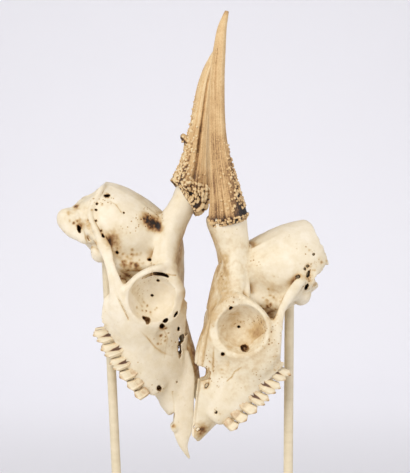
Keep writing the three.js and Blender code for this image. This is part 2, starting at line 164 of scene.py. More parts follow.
TEMPORAL_LINE = [
    (1, 11, 44.5, 0.9, 0.8),
    (13, 16, 50.2, 0.9, 0.8),
    (27, 18.6, 55.3, 0.9, 0.8),
    (38, 19.3, 58.8, 0.9, 0.8),
]
SHELF_UNDER_TEMPLE = [
    (38, 25, 15, 3, 3.4),
    (46, 24, 15.8, 3.8, 3.8),
    (50.5, 23, 17, 4, 4),
    (56, 21, 23, 4, 4),
    (61, 20, 30.5, 3.8, 3.8),
    (65, 21, 36, 3.4, 3.4),
]
SOCKETS_OF_TEETH = [
    (139, 17.3, -13, 4.4, 7.4),
    (126, 20.3, -13, 5.4, 10.5),
    (108, 24, -11.5, 6, 10.5),
    (92, 25, -8, 5.8, 10),
    (82, 24.5, -6, 5.4, 9.2),
]
PREMAXILLA = [
    (195, 2.6, -24.2, 1.3, 0.8),
    (190, 4.8, -23.5, 1.8, 2.0),
    (185.6, 6.5, -22.4, 2, 3.1),
    (181, 7.9, -20, 2, 4.8),
    (177, 9, -17.2, 2, 6.4),
    (168, 10.9, -9.5, 1.8, 7.2),
    (157, 12.2, 0.5, 1.6, 5.8),
    (145, 12.9, 11, 1.5, 4.6),
    (131, 12.9, 19.5, 1.3, 1.6),
]
GROOVE_ON_ARCH = [
    (47, 42.4, 10.2, 0.7, 0.5),
    (56, 44, 6.6, 0.7, 0.5),
    (65, 43.6, 3.4, 0.7, 0.5),
    (75, 42.4, 1.5, 0.7, 0.5),
    (86, 39.6, -0.6, 0.6, 0.4),
]
SLIT_OVER_EYE = [
    (67.5, 30, 26, 8, 0.7),
    (68.8, 31, 32, 11, 1.2),
    (73.3, 31, 37.6, 11, 1.3),
    (77.5, 31, 40.3, 10, 0.7),
]
THROAT_WING = [(84, 11.5, -4, 1.4, 6), (72, 10.5, 3, 1.3, 7), (60, 9.5, 10, 1.3, 5)]
EYE = (85, 23)  # the middle of the eye socket, along and up
REAR_OF_TEETH = 80  # along the skull, where the part of the jaw that holds teeth begins
END_OF_MAXILLA = (130, 0, 16.4)  # a point of the slanting plane where the maxilla ends
SUTURE_NORMAL = (24.9, 0, 31)  # square to that plane
# Balls: middle (along, sideways, up) and half-lengths.
BULLA = (35, 16, 9), (7, 5, 5.6)
TUBER_OVER_TEETH = (86, 21, -6), (15, 9, 11)
OCCIPUT = (3, 0, 24), (8.5, 21, 22)
CONDYLE = (1.5, 9, 5), (8.6, 6.3, 7.6)
BESIDE_CONDYLE = (20, 18.5, 10), (5, 3.5, 6.5)
NECK_HOLE = (-4, 0, 14), (12, 6.5, 8)
NECK_HOLLOWS = (((-6.5, 6, 31), (4.5, 6.5, 8)), ((-6.5, 15, 27), (4.5, 6.5, 8)))
CANINE_SWELL = (171, 10.4, -20.2), (3, 2, 2.6)
# The same, and how far each is tipped, in degrees.
HOLLOW_BEFORE_EYE = (114, 31.5, 12), (9, 4.5, 6), 20
EAR_CANAL = (22.7, 29, 9.8), (5, 7, 1.6), 2
# Gaps in the bone before the eye: a tipped ball, and over what span its edge wanders how far.
GAPS_BEFORE_EYE = [
    (((120.3, 18, 22), (3.6, 14, 2), 52), 3, 0.5),
    (((113, 24, 24.5), (1.6, 8, 0.9), 30), 3, 0.3),
    (((126.3, 22, 16.2), (6.6, 9, 1.2), 32), 4, 0.4),
]
NOSE_EDGE = (131.9, 0, 18.7)  # a point of the plane where the jaw ends before the nose
SOCKET_RADII = (19.4, 29, 19.2)


def skull_place(at, facing, pitch, turn):
    """A skull's turning matrix and shift: faced about Z, tipped about Y, turned about Z."""

    def about_z(angle):
        c, s = cos(radians(angle)), sin(radians(angle))
        return np.array([[c, -s, 0], [s, c, 0], [0, 0, 1]])

    c, s = cos(radians(pitch)), sin(radians(pitch))
    tip = np.array([[c, 0, s], [0, 1, 0], [-s, 0, c]])
    return about_z(turn) @ tip @ about_z(facing), np.array(at, float)


def smooth_rows(rows, steps):
    """Rows at even steps along a Catmull-Rom curve through the given ones."""
    rows = np.array(rows, float)
    place = np.linspace(0, len(rows) - 1, steps * (len(rows) - 1) + 1)
    i = np.minimum(place.astype(int), len(rows) - 2)
    t = (place - i)[:, None]
    p, q, r, z = (rows[np.clip(i + k, 0, len(rows) - 1)] for k in (-1, 0, 1, 2))
    return q + 0.5 * t * (r - p + t * (2 * p - 5 * q + 4 * r - z + t * (3 * q - p - 3 * r + z)))


def melt(a, b, soft):
    """The nearer of two surfaces, with the corner between them filled over soft mm."""
    near = np.maximum(soft - np.abs(a - b), 0)
    return np.minimum(a, b) - near * near / (4 * soft)


def bone_box(rows, power=2.6, ends=3.0):
    """A body along X: |up|^power + |side|^power = 1 at each station, its half-width a quadratic
    of height. The distance is taken along the ray from the station's middle."""
    rows = smooth_rows(rows, 12)

    def distance(x, y, z):
        low, high, wide_low, wide_mid, wide_high = (
            np.interp(x, rows[:, 0], rows[:, k]).astype(np.float32) for k in range(1, 6)
        )
        middle, half_height = (low + high) / 2, (high - low) / 2
        t = np.clip((z - low) / (high - low), 0, 1)
        half = 2 * (t - 0.5) * (t - 1) * wide_low - 4 * t * (t - 1) * wide_mid
        half = half + 2 * t * (t - 0.5) * wide_high
        up, side = np.abs(z - middle), np.abs(y)
        share = ((up / half_height) ** power + (side / half) ** power) ** (1 / power)
        skin = np.hypot(up, side) * (1 - 1 / np.maximum(share, 0.05))
        return -melt(-skin, -np.maximum(rows[0, 0] - x, x - rows[-1, 0]), ends)

    wide = rows[:, 3:].max()
    return (
        (rows[0, 0], -wide, rows[:, 1].min()),
        (rows[-1, 0], wide, rows[:, 2].max()),
        distance,
    )


def ellipsoid_distance(parts, radii):
    """How far a point lies outside an ellipsoid, to first order."""
    k0 = np.sqrt(sum((p / r) ** 2 for p, r in zip(parts, radii)))
    k1 = np.sqrt(sum((p / (r * r)) ** 2 for p, r in zip(parts, radii)))
    return k0 * (k0 - 1) / np.maximum(k1, 1e-4)


def limb(rows, across=ACROSS, steps=4):
    """A curved bar: an ellipse of half-width and half-depth square to a smooth curve."""
    rows = smooth_rows(rows, steps)
    at, sizes = rows[:, :3], rows[:, 3:]
    reach = sizes.max()

    def distance(x, y, z):
        nearest = None
        for i in range(len(rows) - 1):
            way = at[i + 1] - at[i]
            length = np.linalg.norm(way)
            ahead = way / length
            wide = np.array(across) - np.dot(across, ahead) * ahead
            wide /= np.linalg.norm(wide)
            deep = np.cross(ahead, wide)
            dx, dy, dz = x - at[i, 0], y - at[i, 1], z - at[i, 2]
            t = np.clip((dx * ahead[0] + dy * ahead[1] + dz * ahead[2]) / length, 0, 1)
            dx, dy, dz = dx - t * way[0], dy - t * way[1], dz - t * way[2]
            half = [sizes[i, k] + t * (sizes[i + 1, k] - sizes[i, k]) for k in (0, 1)]
            parts = [dx * v[0] + dy * v[1] + dz * v[2] for v in (wide, deep, ahead)]
            far = ellipsoid_distance(parts, [*half, np.minimum(*half)])
            nearest = far if nearest is None else np.minimum(nearest, far)
        return nearest

    return at.min(0) - reach, at.max(0) + reach, distance


def ball(at, radii, pitch=0):
    """An ellipsoid, tipped about Y by pitch degrees."""
    c, s = cos(radians(pitch)), sin(radians(pitch))
    reach = max(radii)

    def distance(x, y, z):
        dx, dy, dz = x - at[0], y - at[1], z - at[2]
        return ellipsoid_distance((dx * c - dz * s, dy, dx * s + dz * c), radii)

    return np.array(at) - reach, np.array(at) + reach, distance


def eye_rim(lift, radius=20.2, aside=37):
    """The mouth of the eye socket: a plate whose outer face leans forward and up, cut off round
    a circle. In front and below it is thick, and its flank slopes down to the cheek; behind and
    above it is thin. front goes from 0 behind to 1 before the eye and shares out thickness and
    slope. A bowl of thin bone, an ellipsoid cut off at the face, closes the socket within."""

    def distance(x, y, z):
        ahead, up = x - EYE[0], z - EYE[1] - lift
        reach = np.hypot(ahead, up)
        out = y - aside + (5 * ahead + 4 * up) / 20 + 0.007 * np.maximum(up, 0) ** 2
        front = np.clip((ahead * 0.8 - up * 0.9) / np.maximum(reach, 1) * 1.6 + 0.45, 0, 1)
        deep = 2.6 + 11 * front
        flank = (reach - radius - (0.6 + 1.0 * front) * np.maximum(-out, 0)) / 1.5
        plate = np.maximum(np.maximum(out, -out - deep), flank)
        bowl = np.maximum(ellipsoid_distance((ahead, y - 50, up), (20.8, 30.6, 20.6)), out + 1)
        return np.minimum(plate, bowl)

    return (EYE[0] - 26, 12, EYE[1] - 34), (EYE[0] + 36, 50, EYE[1] + 30), distance


def block(middle, size, pitch=0):
    """A box tipped about Y by pitch degrees."""
    c, s = cos(radians(pitch)), sin(radians(pitch))
    reach = max(size)

    def distance(x, y, z):
        dx, dy, dz = x - middle[0], y - middle[1], z - middle[2]
        parts = (dx * c - dz * s, dy, dx * s + dz * c)
        far = [np.abs(part) - side / 2 for part, side in zip(parts, size)]
        return np.maximum(np.maximum(far[0], far[1]), far[2])

    return np.array(middle) - reach, np.array(middle) + reach, distance


def beyond(point, away, start, reach=200):
    """All that lies past a plane through a point, on the side that away points to, and ahead
    of start."""
    away = np.array(away, float) / np.linalg.norm(away)

    def distance(x, y, z):
        past = (x - point[0]) * away[0] + (y - point[1]) * away[1] + (z - point[2]) * away[2]
        return np.maximum(-past, start - x)

    return (start, -reach, -reach), (reach,) * 3, distance


def ragged(form, size, depth):
    """A form whose surface wanders by depth mm over spans of size mm, as broken bone does."""
    low, high, distance = form
    k = 2 * pi / size

    def rough(x, y, z):
        wander = np.sin(k * x + 2 * np.sin(0.63 * k * z)) + np.sin(1.4 * k * y + 1.7 * k * z + 1)
        return distance(x, y, z) + depth * (wander + 0.6 * np.sin(3.1 * k * (x - z) + k * y)) / 2

    return low, high, rough


class Clay:
    """Distances to the bone's surface on a block of even points, below zero inside the bone.
    Only the left half is worked, and the right is its mirror image."""

    def __init__(self, low, high, step=STEP):
        self.step = step
        self.axes = [
            (np.arange(np.floor(a / step), np.ceil(b / step) + 1) * step).astype(np.float32)
            for a, b in zip((low[0], 0, low[2]), high)
        ]
        self.depth = np.full([len(a) for a in self.axes], AIR, np.float32)

    def work(self, form, join):
        low, high, distance = form
        spans = tuple(
            slice(*np.searchsorted(axis, (a - MARGIN, b + MARGIN)))
            for axis, a, b in zip(self.axes, low, high)
        )
        x, y, z = np.ix_(*[axis[span] for axis, span in zip(self.axes, spans)])
        self.depth[spans] = join(self.depth[spans], distance(x, y, z).astype(np.float32))

    def add(self, form, soft=2.5):
        self.work(form, lambda old, new: melt(old, new, soft))

    def carve(self, form, soft=1.2):
        self.work(form, lambda old, new: -melt(-old, new, soft))

    def even_out(self):
        """Divides by the steepness, so that the values are true distances near the surface."""
        steep = np.gradient(self.depth, self.step)
        steep = np.sqrt(sum(g * g for g in steep))
        self.depth = np.clip(self.depth / np.maximum(steep, 0.7), -AIR, AIR)

    def mirror(self):
        """Adds the right half, after which both sides can be worked apart."""
        self.depth = np.concatenate([self.depth[:, :0:-1], self.depth], axis=1)
        self.axes[1] = np.concatenate([-self.axes[1][:0:-1], self.axes[1]])

    def sample(self, points):
        """The distance at any points, blended between the eight around each."""
        origin = np.array([axis[0] for axis in self.axes])
        place = np.clip((points - origin) / self.step, 0, np.array(self.depth.shape) - 1.001)
        cell = place.astype(int)
        t = place - cell
        value = 0
        for corner in np.ndindex(2, 2, 2):
            share = np.prod(np.where(corner, t, 1 - t), axis=1)
            value = value + share * self.depth[tuple((cell + corner).T)]
        return value

    def skin(self, keep=None):
        """Surface nets: one vertex in each cell that the surface crosses, at the mean of the
        crossings on its edges, and one quad round each crossed edge. keep is a field that
        limits the piece, above zero where nothing is kept."""
        depth = self.depth if keep is None else np.maximum(self.depth, keep)
        inside = depth < 0
        cells, crossings = [], []
        for axis in range(3):
            shift = [slice(None)] * 3
            shift[axis] = slice(1, None)
            back = [slice(None)] * 3
            back[axis] = slice(0, -1)
            crossed = inside[tuple(back)] != inside[tuple(shift)]
            index = np.argwhere(crossed)
            near, far = depth[tuple(back)][crossed], depth[tuple(shift)][crossed]
            crossing = index.astype(float)
            crossing[:, axis] += near / (near - far)
            ring = np.repeat(index[:, None, :], 4, axis=1)
            ring[:, :, (axis + 1) % 3] += (0, -1, -1, 0)
            ring[:, :, (axis + 2) % 3] += (0, 0, -1, -1)
            ring[near > 0] = ring[near > 0][:, ::-1]
            cells.append(np.ravel_multi_index(ring.reshape(-1, 3).T, depth.shape))
            crossings.append(np.repeat(crossing, 4, axis=0))
        used, quads = np.unique(np.concatenate(cells), return_inverse=True)
        count = np.bincount(quads)
        points = np.stack(
            [np.bincount(quads, column) / count for column in np.concatenate(crossings).T], axis=1
        )
        points = points * self.step + np.array([axis[0] for axis in self.axes])
        return points, quads.reshape(-1, 4)


def spread(points, quads, share=0.5):
    """Each point moved part of the way to the mean of its neighbours along the quads."""
    total = np.zeros_like(points)
    count = np.zeros(len(points))
    for k in range(4):
        a, b = quads[:, k], quads[:, (k + 1) % 4]
        for start, end in ((a, b), (b, a)):
            count += np.bincount(start, minlength=len(points))
            for axis in range(3):
                total[:, axis] += np.bincount(start, points[end, axis], len(points))
    return points + share * (total / count[:, None] - points)


def outward(points, quads):
    """Unit normals at the points, from the quads' diagonals."""
    a, b, c, d = (points[quads[:, k]] for k in range(4))
    normal = np.stack(
        [
            sum(np.bincount(quads[:, k], part, len(points)) for k in range(4))
            for part in np.cross(c - a, d - b).T
        ],
        axis=1,
    )
    return normal / np.maximum(np.linalg.norm(normal, axis=1, keepdims=True), 1e-9)


def grain(points, size, seed):
    """Smooth random values from -1 to 1 over spans of size mm: numbers on a lattice, blended
    between its corners with a soft step."""
    lattice = np.random.default_rng(seed).uniform(-1, 1, (32, 32, 32))
    cell = np.floor(points / size).astype(int)
    t = points / size - cell
    t = t * t * (3 - 2 * t)
    value = 0
    for corner in np.ndindex(2, 2, 2):
        share = np.prod(np.where(corner, t, 1 - t), axis=1)
        value = value + share * lattice[tuple(((cell + corner) % 32).T)]
    return value


def hollowness(clay, points, normals):
    """From 0 on open bone to 1 deep in a recess: how much less air stands over a spot than
    over a flat surface. The bone's colour uses it as painted shade."""
    total = 0
    for reach, weight in ((2, 0.3), (5, 0.35), (10, 0.35)):
        total = total + weight * np.clip(1 - clay.sample(points + normals * reach) / reach, 0, 1)
    return total


def spots(points, places):
    """The sum of soft round spots, each (along, sideways, up, radius, strength), drawn out to
    twice as far sideways."""
    total = np.zeros(len(points))
    for x, y, z, radius, strength in places:
        far = (((points - (x, y, z)) * (1, 0.5, 1)) ** 2).sum(1) / radius**2
        total += strength * np.exp(-far * 1.5)
    return total


def strokes(points, lines):
    """The sum of thin lines, each (strength, width, corners), along the nearest segment, and
    deep sideways, so that a line lies on the skin wherever it is."""
    total = np.zeros(len(points))
    flatter = np.array((1, 0.15, 1))
    points = points * flatter
    for strength, width, corners in lines:
        far = np.full(len(points), 99.0)
        corners = np.array(corners, float) * flatter
        for a, b in zip(corners[:-1], corners[1:]):
            t = np.clip((points - a) @ (b - a) / ((b - a) @ (b - a)), 0, 1)
            far = np.minimum(far, ((points - a - t[:, None] * (b - a)) ** 2).sum(1))
        total += strength * np.exp(-far / width**2)
    return total


def linear(hexa):
    """An sRGB hex colour as the linear RGBA that a material takes."""
    parts = [int(hexa[k : k + 2], 16) / 255 for k in (0, 2, 4)]
    return (*[p / 12.92 if p <= 0.04045 else ((p + 0.055) / 1.055) ** 2.4 for p in parts], 1)


def add_node(tree, kind, inputs=(), **settings):
    """A node with its settings, and its inputs set to values or linked from other nodes."""
    node = tree.nodes.new("ShaderNode" + kind)
    for key, value in settings.items():
        setattr(node, key, value)
    for key, value in dict(inputs).items():
        if isinstance(value, bpy.types.NodeSocket):
            tree.links.new(value, node.inputs[key])
        else:
            node.inputs[key].default_value = value
    return node


def colour_ramp(tree, factor, stops):
    """Colours blended by a factor, as (place, hex) stops."""
    node = add_node(tree, "ValToRGB", {"Fac": factor})
    marks = node.color_ramp.elements
    while len(marks) < len(stops):
        marks.new(0.5)
    for mark, (place, hexa) in zip(marks, stops):
        mark.position, mark.color = place, linear(hexa)
    return node.outputs["Color"]


def weighted_sum(tree, terms):
    """The sum of (socket, weight) terms."""
    total = 0.0
    for socket, weight in terms:
        total = add_node(
            tree, "Math", {0: socket, 1: weight, 2: total}, operation="MULTIPLY_ADD"
        ).outputs[0]
    return total


def new_material(name):
    material = bpy.data.materials.new(name)
    material.use_nodes = True
    tree = material.node_tree
    return material, tree, tree.nodes["Principled BSDF"]


def make_piece(name, points, faces, material, nodes, slot, **marks):
    """A shown piece from points in mm, faces as arrays of corners, and values at the points."""
    mesh = bpy.data.meshes.new(name)
    faces = faces if isinstance(faces, list) else [faces]
    starts, begin = [], 0
    for group in faces:
        starts.append(begin + np.arange(len(group)) * group.shape[1])
        begin += group.size
    corners = np.concatenate([group.ravel() for group in faces]).astype(np.int32)
    starts = np.concatenate(starts).astype(np.int32)
    mesh.vertices.add(len(points))
    mesh.vertices.foreach_set("co", (points * MM).astype(np.float32).ravel())
    mesh.loops.add(len(corners))
    mesh.loops.foreach_set("vertex_index", corners)
    mesh.polygons.add(len(starts))
    mesh.polygons.foreach_set("loop_start", starts)
    mesh.update(calc_edges=True)
    mesh.polygons.foreach_set("use_smooth", np.ones(len(starts), bool))
    for key, values in marks.items():
        layer = mesh.attributes.new(key, "FLOAT", "POINT")
        layer.data.foreach_set("value", np.asarray(values, np.float32))
    mesh.materials.append(material)
    shown = bpy.data.objects.new(name, mesh)
    bpy.context.scene.collection.objects.link(shown)
    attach(shown, "root")
    if nodes:
        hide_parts(*nodes)
    return shown


# Dry bone, boiled clean and bleached by air: matt and a little porous, cream on the open plates,
# tan where fat stayed in it and dark brown along roots, with painted shade in holes and recesses.
dry_bone, tree, bone_shader = new_material("dry_bone")
where = add_node(tree, "TexCoord").outputs["Object"]
blotches = add_node(
    tree, "TexNoise", {"Vector": where, "Scale": 70, "Detail": 5, "Roughness": 0.6}
)
fine_grain = add_node(
    tree, "TexNoise", {"Vector": where, "Scale": 700, "Detail": 4, "Roughness": 0.6}
)
pores = add_node(tree, "TexVoronoi", {"Vector": where, "Scale": 420, "Randomness": 1})
pore_mask = add_node(tree, "TexNoise", {"Vector": where, "Scale": 45, "Detail": 2})
open_pore = add_node(
    tree, "MapRange", {0: pores.outputs["Distance"], 1: 0.16, 2: 0.3, 3: 1.0, 4: 0.0}
)
porous = add_node(
    tree, "MapRange", {0: pore_mask.outputs["Fac"], 1: 0.56, 2: 0.66, 3: 0.0, 4: 1.0}
)
pitted = add_node(
    tree, "Math", {0: open_pore.outputs[0], 1: porous.outputs[0]}, operation="MULTIPLY"
)
# This mark holds real stains, sutures and grain, and also painted shade: darker in recesses and on
# faces turned to the skull's top and front.
stain = add_node(tree, "Attribute", attribute_name="stain").outputs["Fac"]
browning_and_shade = weighted_sum(
    tree,
    (
        (stain, 1.0),
        (blotches.outputs["Fac"], 0.22),
        (fine_grain.outputs["Fac"], 0.12),
        (pitted.outputs[0], 0.3),
    ),
)
bone_colour = colour_ramp(
    tree,
    browning_and_shade,
    (
        (0.08, "f2e9d6"),
        (0.25, "e6d9bd"),
        (0.42, "cdb184"),
        (0.62, "94683a"),
        (0.8, "4a2e17"),
        (1, "1a100a"),
    ),
)
tree.links.new(bone_colour, bone_shader.inputs["Base Color"])
bone_shader.inputs["Roughness"].default_value = 0.62
bone_shader.inputs["IOR"].default_value = 1.5
bone_relief = weighted_sum(
    tree,
    (
        (fine_grain.outputs["Fac"], 0.6),
        (pitted.outputs[0], -1.0),
        (blotches.outputs["Fac"], 0.6),
    ),
)
bone_bump = add_node(tree, "Bump", {"Height": bone_relief, "Strength": 0.5, "Distance": 0.0004})
tree.links.new(bone_bump.outputs[0], bone_shader.inputs["Normal"])


def raised(rows, lift):
    """Rows of a limb, all raised by the same amount."""
    return [(x, y, z + lift, *rest) for x, y, z, *rest in rows]


def higher(form, lift):
    """A ball's values, with its middle raised."""
    (x, y, z), *rest = form
    return (x, y, z + lift), *rest


def shape_skull(
    whole, braincase, brow, pedicle, arch, ear, behind_teeth, holes, lift=0.0, sockets=0.0
):
    """The bone of one skull, without antlers, teeth and nasals. ear is the ball over the ear
    opening, behind_teeth is where the jaw is cut back, lift raises the eyes and the bars behind
    them, and sockets raises the jaw's edge. One that isn't whole has its broken places."""
    clay = Clay((-16, 0, -32), (200 if whole else 172, 48, 96))
    clay.add(bone_box(braincase, ends=2.5))
    clay.add(bone_box(brow), 3)
    face = [(x, low + (sockets if x > REAR_OF_TEETH else 0), *rest) for x, low, *rest in FACE]
    clay.add(bone_box(face), 3)
    clay.add(limb(SKULL_BASE))
    clay.add(ball(*BULLA), 3)
    clay.add(ball(*ear), 3)
    clay.add(limb(pedicle, ALONG_STALK), 3)
    clay.add(limb(FRONTAL_STRUT), 2)
    clay.add(limb(EDGE_OF_STRUT), 2.5)
    clay.add(limb(TEMPORAL_LINE), 2.5)
    clay.add(limb(SHELF_UNDER_TEMPLE), 9)
    clay.add(limb(arch), 3)
    clay.add(limb(raised(BAR_BEHIND_EYE, lift)), 2)
    clay.add(ball(*higher(TUBER_OVER_TEETH, lift)), 4)
    clay.add(eye_rim(lift), 5)
    clay.add(limb(raised(SOCKETS_OF_TEETH, sockets)), 4)
    if whole:
        clay.add(ball(*OCCIPUT))
        clay.add(ball(*CONDYLE), 4)
        clay.add(limb(NECK_OF_CONDYLE), 6)
        clay.add(limb(ROOT_OF_CONDYLE), 3)
        clay.add(ball(*BESIDE_CONDYLE), 4)
        clay.add(limb(NUCHAL_CREST, (1, 0, 0)), 2)
    clay.add(limb(THROAT_WING), 1.5)
    clay.carve(ball((EYE[0], 50, EYE[1] + lift), SOCKET_RADII), 1.0)
    clay.carve(bone_box(NASAL_CAVITY, ends=1))
    clay.carve(bone_box(PALATE_ARCH, 3.4))
    clay.carve(bone_box(THROAT, ends=1))
    clay.carve(block(behind_teeth, (22, 90, 22), 45), 1.5)
    clay.carve(bone_box(NASALS), 0.8)
    clay.carve(ball(*higher(HOLLOW_BEFORE_EYE, lift)), 3)
    clay.carve(ball(*EAR_CANAL), 0.6)
    if whole:
        clay.carve(beyond(NOSE_EDGE, SUTURE_NORMAL, 90), 0.8)
        for form, span, depth in GAPS_BEFORE_EYE:
            clay.carve(ragged(ball(*form), span, depth), 0.4)
        clay.carve(limb(SLIT_OVER_EYE), 0.8)
        clay.carve(ball(*NECK_HOLE))
        for hollow in NECK_HOLLOWS:
            clay.carve(ball(*hollow), 2.5)
        clay.carve(limb(GROOVE_ON_ARCH), 0.8)
        clay.add(limb(PREMAXILLA), 2)
        clay.add(ball(*CANINE_SWELL), 1.5)
    else:
        clay.carve(beyond(END_OF_MAXILLA, SUTURE_NORMAL, 90), 0.8)
        clay.carve(bone_box(BRAIN_CAVITY, ends=1))
        for form, span, depth in LOST_OCCIPUT:
            clay.carve(ragged(block(*form), span, depth), 0.8)
        clay.carve(ball(*NOTCH_IN_MUZZLE), 0.6)
        clay.add(limb(TIP_OF_FRONTAL), 6)
        clay.carve(ragged(ball(*NOTCH_UNDER_NASALS), 5, 0.6), 0.6)
    for x, y, z, long, wide, pitch in holes:
        clay.carve(ragged(ball((x, y, z), (long, 7, wide), pitch), 3, 0.25), 0.5)
    clay.even_out()
    clay.mirror()
    return clay


def suture_of_premaxilla(x, z):
    """How far a point lies ahead of the slanting line where the maxilla ends."""
    along, _, up = SUTURE_NORMAL
    return ((x - END_OF_MAXILLA[0]) * along + (z - END_OF_MAXILLA[2]) * up) / np.hypot(along, up)


def bone_piece(name, clay, keep, marks, nodes, place, lines=(), rough=()):
    """The skin of the clay within a limit, brushed smooth, with low relief, its stains, and painted
    shade in recesses and on faces turned to the skull's top and front.
    """
    turn, at = place
    points, quads = clay.skin(keep)
    points = spread(points, quads, 0.5)
    normals = outward(points, quads)
    free = np.abs(clay.sample(points)) < 0.4  # not on a cut face
    points = points - (normals * clay.sample(points)[:, None]) * free[:, None]
    normals = outward(points, quads)
    relief = 0.25 * grain(points, 9, 1) + 0.14 * grain(points, 3.5, 2)
    coarse = 0.5 * grain(points, 4, 6) + 0.4 * grain(points, 2, 7)
    relief += np.minimum(spots(points, rough), 1) * coarse
    # Painted shade: bone that faces the skull's top and front, above 12 mm up, is browned.
    painted_top_shade = np.clip((normals @ np.array((0.5, 0, 0.87)) - 0.45) * 2.5, 0, 1)
    hollow = hollowness(clay, points, normals)
    drawn = strokes(points, lines)
    patchy = 1 + 0.4 * grain(points, 3, 9) + 0.4 * grain(points, 1.3, 10)
    # Painted shade in recesses from hollow, added to the real stains, sutures and grain.
    brown_and_shade = 0.65 * hollow**2 + spots(points, marks) * patchy + drawn + 0.06 * grain(points, 20, 3)
    brown_and_shade += 0.06 * grain(points, 5, 4) + 0.04 * grain(points, 2, 5)
    brown_and_shade += 0.15 * painted_top_shade * (1 + 0.5 * grain(points, 6, 8)) * (points[:, 2] > 12)
    points = points + normals * ((relief - 0.5 * drawn) * free)[:, None]
    return make_piece(name, points @ turn.T + at, quads, dry_bone, nodes, "bone", stain=brown_and_shade)


def scatter(middle, reach, count, size, strength, seed):
    """Small spots strewn round a place, on the skull's surface near it."""
    pick = np.random.default_rng(seed)
    offset = pick.normal(0, 0.5, (count, 3)) * reach
    width = size * pick.uniform(0.7, 1.3, count)
    return [(*(np.array(middle) + o), w, strength) for o, w in zip(offset, width)]


# Small holes for vessels and nerves: along, sideways, up, half-length, half-width, pitch.
FIRST_HOLES = [
    (4.4, 20, 38.5, 2.4, 1, -60),
    (8.1, 26, 26.1, 0.8, 0.7, 0),
    (14.6, 28, 21.4, 0.7, 0.8, 0),
    (5, 25, 29.2, 0.7, 0.8, 0),
    (22.6, 29, 20.2, 0.6, 0.6, 0),
    (26.4, 29, 19.2, 1.8, 0.8, 0),
    (21.7, 29, 41.2, 0.8, 0.7, 0),
    (42, 27, 20.5, 1.2, 1, 0),
    (60.2, 24, 36.7, 1.5, 1, -50),
    (82.1, 20, 23.1, 1, 1, 0),
    (75.6, 30, 33.1, 1.1, 0.9, 0),
    (95.2, 31, 9.2, 3.4, 2.4, 30),
    (91.5, 31, 8.5, 1.2, 1, 30),
    (104, 32, 16, 1.9, 1.9, 0),
    (102.3, 31, 20.4, 1.3, 2.1, 0),
    (103, 29, 29, 2.6, 0.8, 70),
    (139.9, 20, -12.1, 2.2, 1.9, 30),
    (144, 16, 1, 0.7, 0.7, 0),
    (12, 17, 8, 3, 1, 20),
]
# Where brown was left in the bone: along, sideways (right is below 0), up, radius, strength.
FIRST_STAINS = [
    (34, -25, 52, 5, 0.45),
    (40, -23, 54, 6, 0.7),
    (45, -20, 55, 4.5, 0.6),
    (29, -29, 25, 8, 0.16),
    (34, -29, 23, 8, 0.18),
    (41, -28, 21, 6, 0.2),
    (-2, -13, 16, 2.6, 0.55),
    (-1, -12, 8.5, 2, 0.5),
    (6, -17, 22, 1.8, 0.35),
    (11, -18, 11, 5, 0.3),
    (15, -22, 16, 4, 0.25),
    (28, -30, 10, 4, 0.35),
    (4.4, -20, 38.5, 2.6, 0.5),
    (60, -20, 14, 8, 0.45),
    (62, -22, 25, 4, 0.3),
    (60.5, -14, 61, 6, 0.32),
    (66, -17, 57, 6, 0.22),
    (71, -20, 51.5, 5.5, 0.2),
    (78, -22, -12, 6, 0.35),
    (80, -26, -17, 4, 0.3),
    (2, -12, 14, 18, 0.1),
    (110, -28, 13, 9, 0.1),
    (169, -11, -20, 2.5, 0.35),
    (193, 0, -24, 3, 0.35),
    *scatter((88, -24, 13), 10, 70, 0.9, 0.4, 31),
    *scatter((55, -25, 24), 10, 160, 1.2, 0.28, 32),
    *scatter((111, -28, 13), 7, 50, 0.9, 0.35, 33),
    *scatter((8, -15, 14), 14, 60, 1.2, 0.35, 34),
]
first_place = skull_place(**FIRST_SKULL)
FIRST_SUTURES = [
    (0.3, 0.6, [(94.5, -31, 1), (105, -31, 2.5), (114, -30, 3), (121, -28, 5.5), (125.5, -26, 9)]),
    (0.3, 0.5, [(125.5, -26, 9), (127.5, -24, 13), (127, -20, 19)]),
    (0.25, 0.6, [(108, -31, 15.5), (114, -29, 14), (120, -28, 8), (124, -27, 4)]),
    (0.3, 0.5, [(119, -26, 17), (122, -26, 13), (127, -25, 9)]),
    (0.2, 0.5, [(9, -24, 38), (13, -27, 40), (20, -28, 40)]),
    (0.3, 0.6, [(57, -18, 57), (63, -21, 53), (68, -24, 48), (72, -27, 45.5)]),
    (0.35, 0.5, [(31, -36, 10.5), (36, -37, 9.6), (42, -38, 8.8)]),
    (0.45, 0.5, [(75.5, -33, 40.6), (78, -32, 43), (80, -32, 45.5)]),
    (0.35, 0.7, [(16, -20, 10), (20, -24, 8), (26, -26, 6)]),
    (0.2, 0.5, [(148, -16, -6), (156, -14, -10), (164, -12, -16)]),
]
# Where the bone is coarse and pitted: along, sideways, up, radius, strength.
FIRST_ROUGH = [
    (0, -10, 12, 12, 1.2),
    (12, -18, 14, 10, 1.2),
    (30, -20, 8, 9, 0.8),
    (53, -24, 22, 10, 1.0),
    (62, -16, 16, 8, 1.5),
    (80, -22, -14, 7, 0.8),
]
first_clay = shape_skull(
    True,
    BRAINCASE,
    BROW,
    FIRST_PEDICLE,
    FIRST_CHEEK_ARCH,
    ((20, 21.5, 15), (8.5, 7, 6.5)),
    (60.2, 0, -18.8),
    FIRST_HOLES,
)
JOINT = 68.0  # mm along, where the rear piece ends and the front one begins
OVERLAP = 1.5  # mm, by which two pieces of one bone run into each other
UNDER = 0.05  # mm, by which the front piece lies under the rear one's skin
x, z = first_clay.axes[0][:, None, None], first_clay.axes[2][None, None, :]
ahead = suture_of_premaxilla(x, z)
jaw_nodes = ("frontals_and_orbits", "upper_jaws_and_teeth")
arch_nodes = ("zygomatic_arch_left", "zygomatic_arch_right")
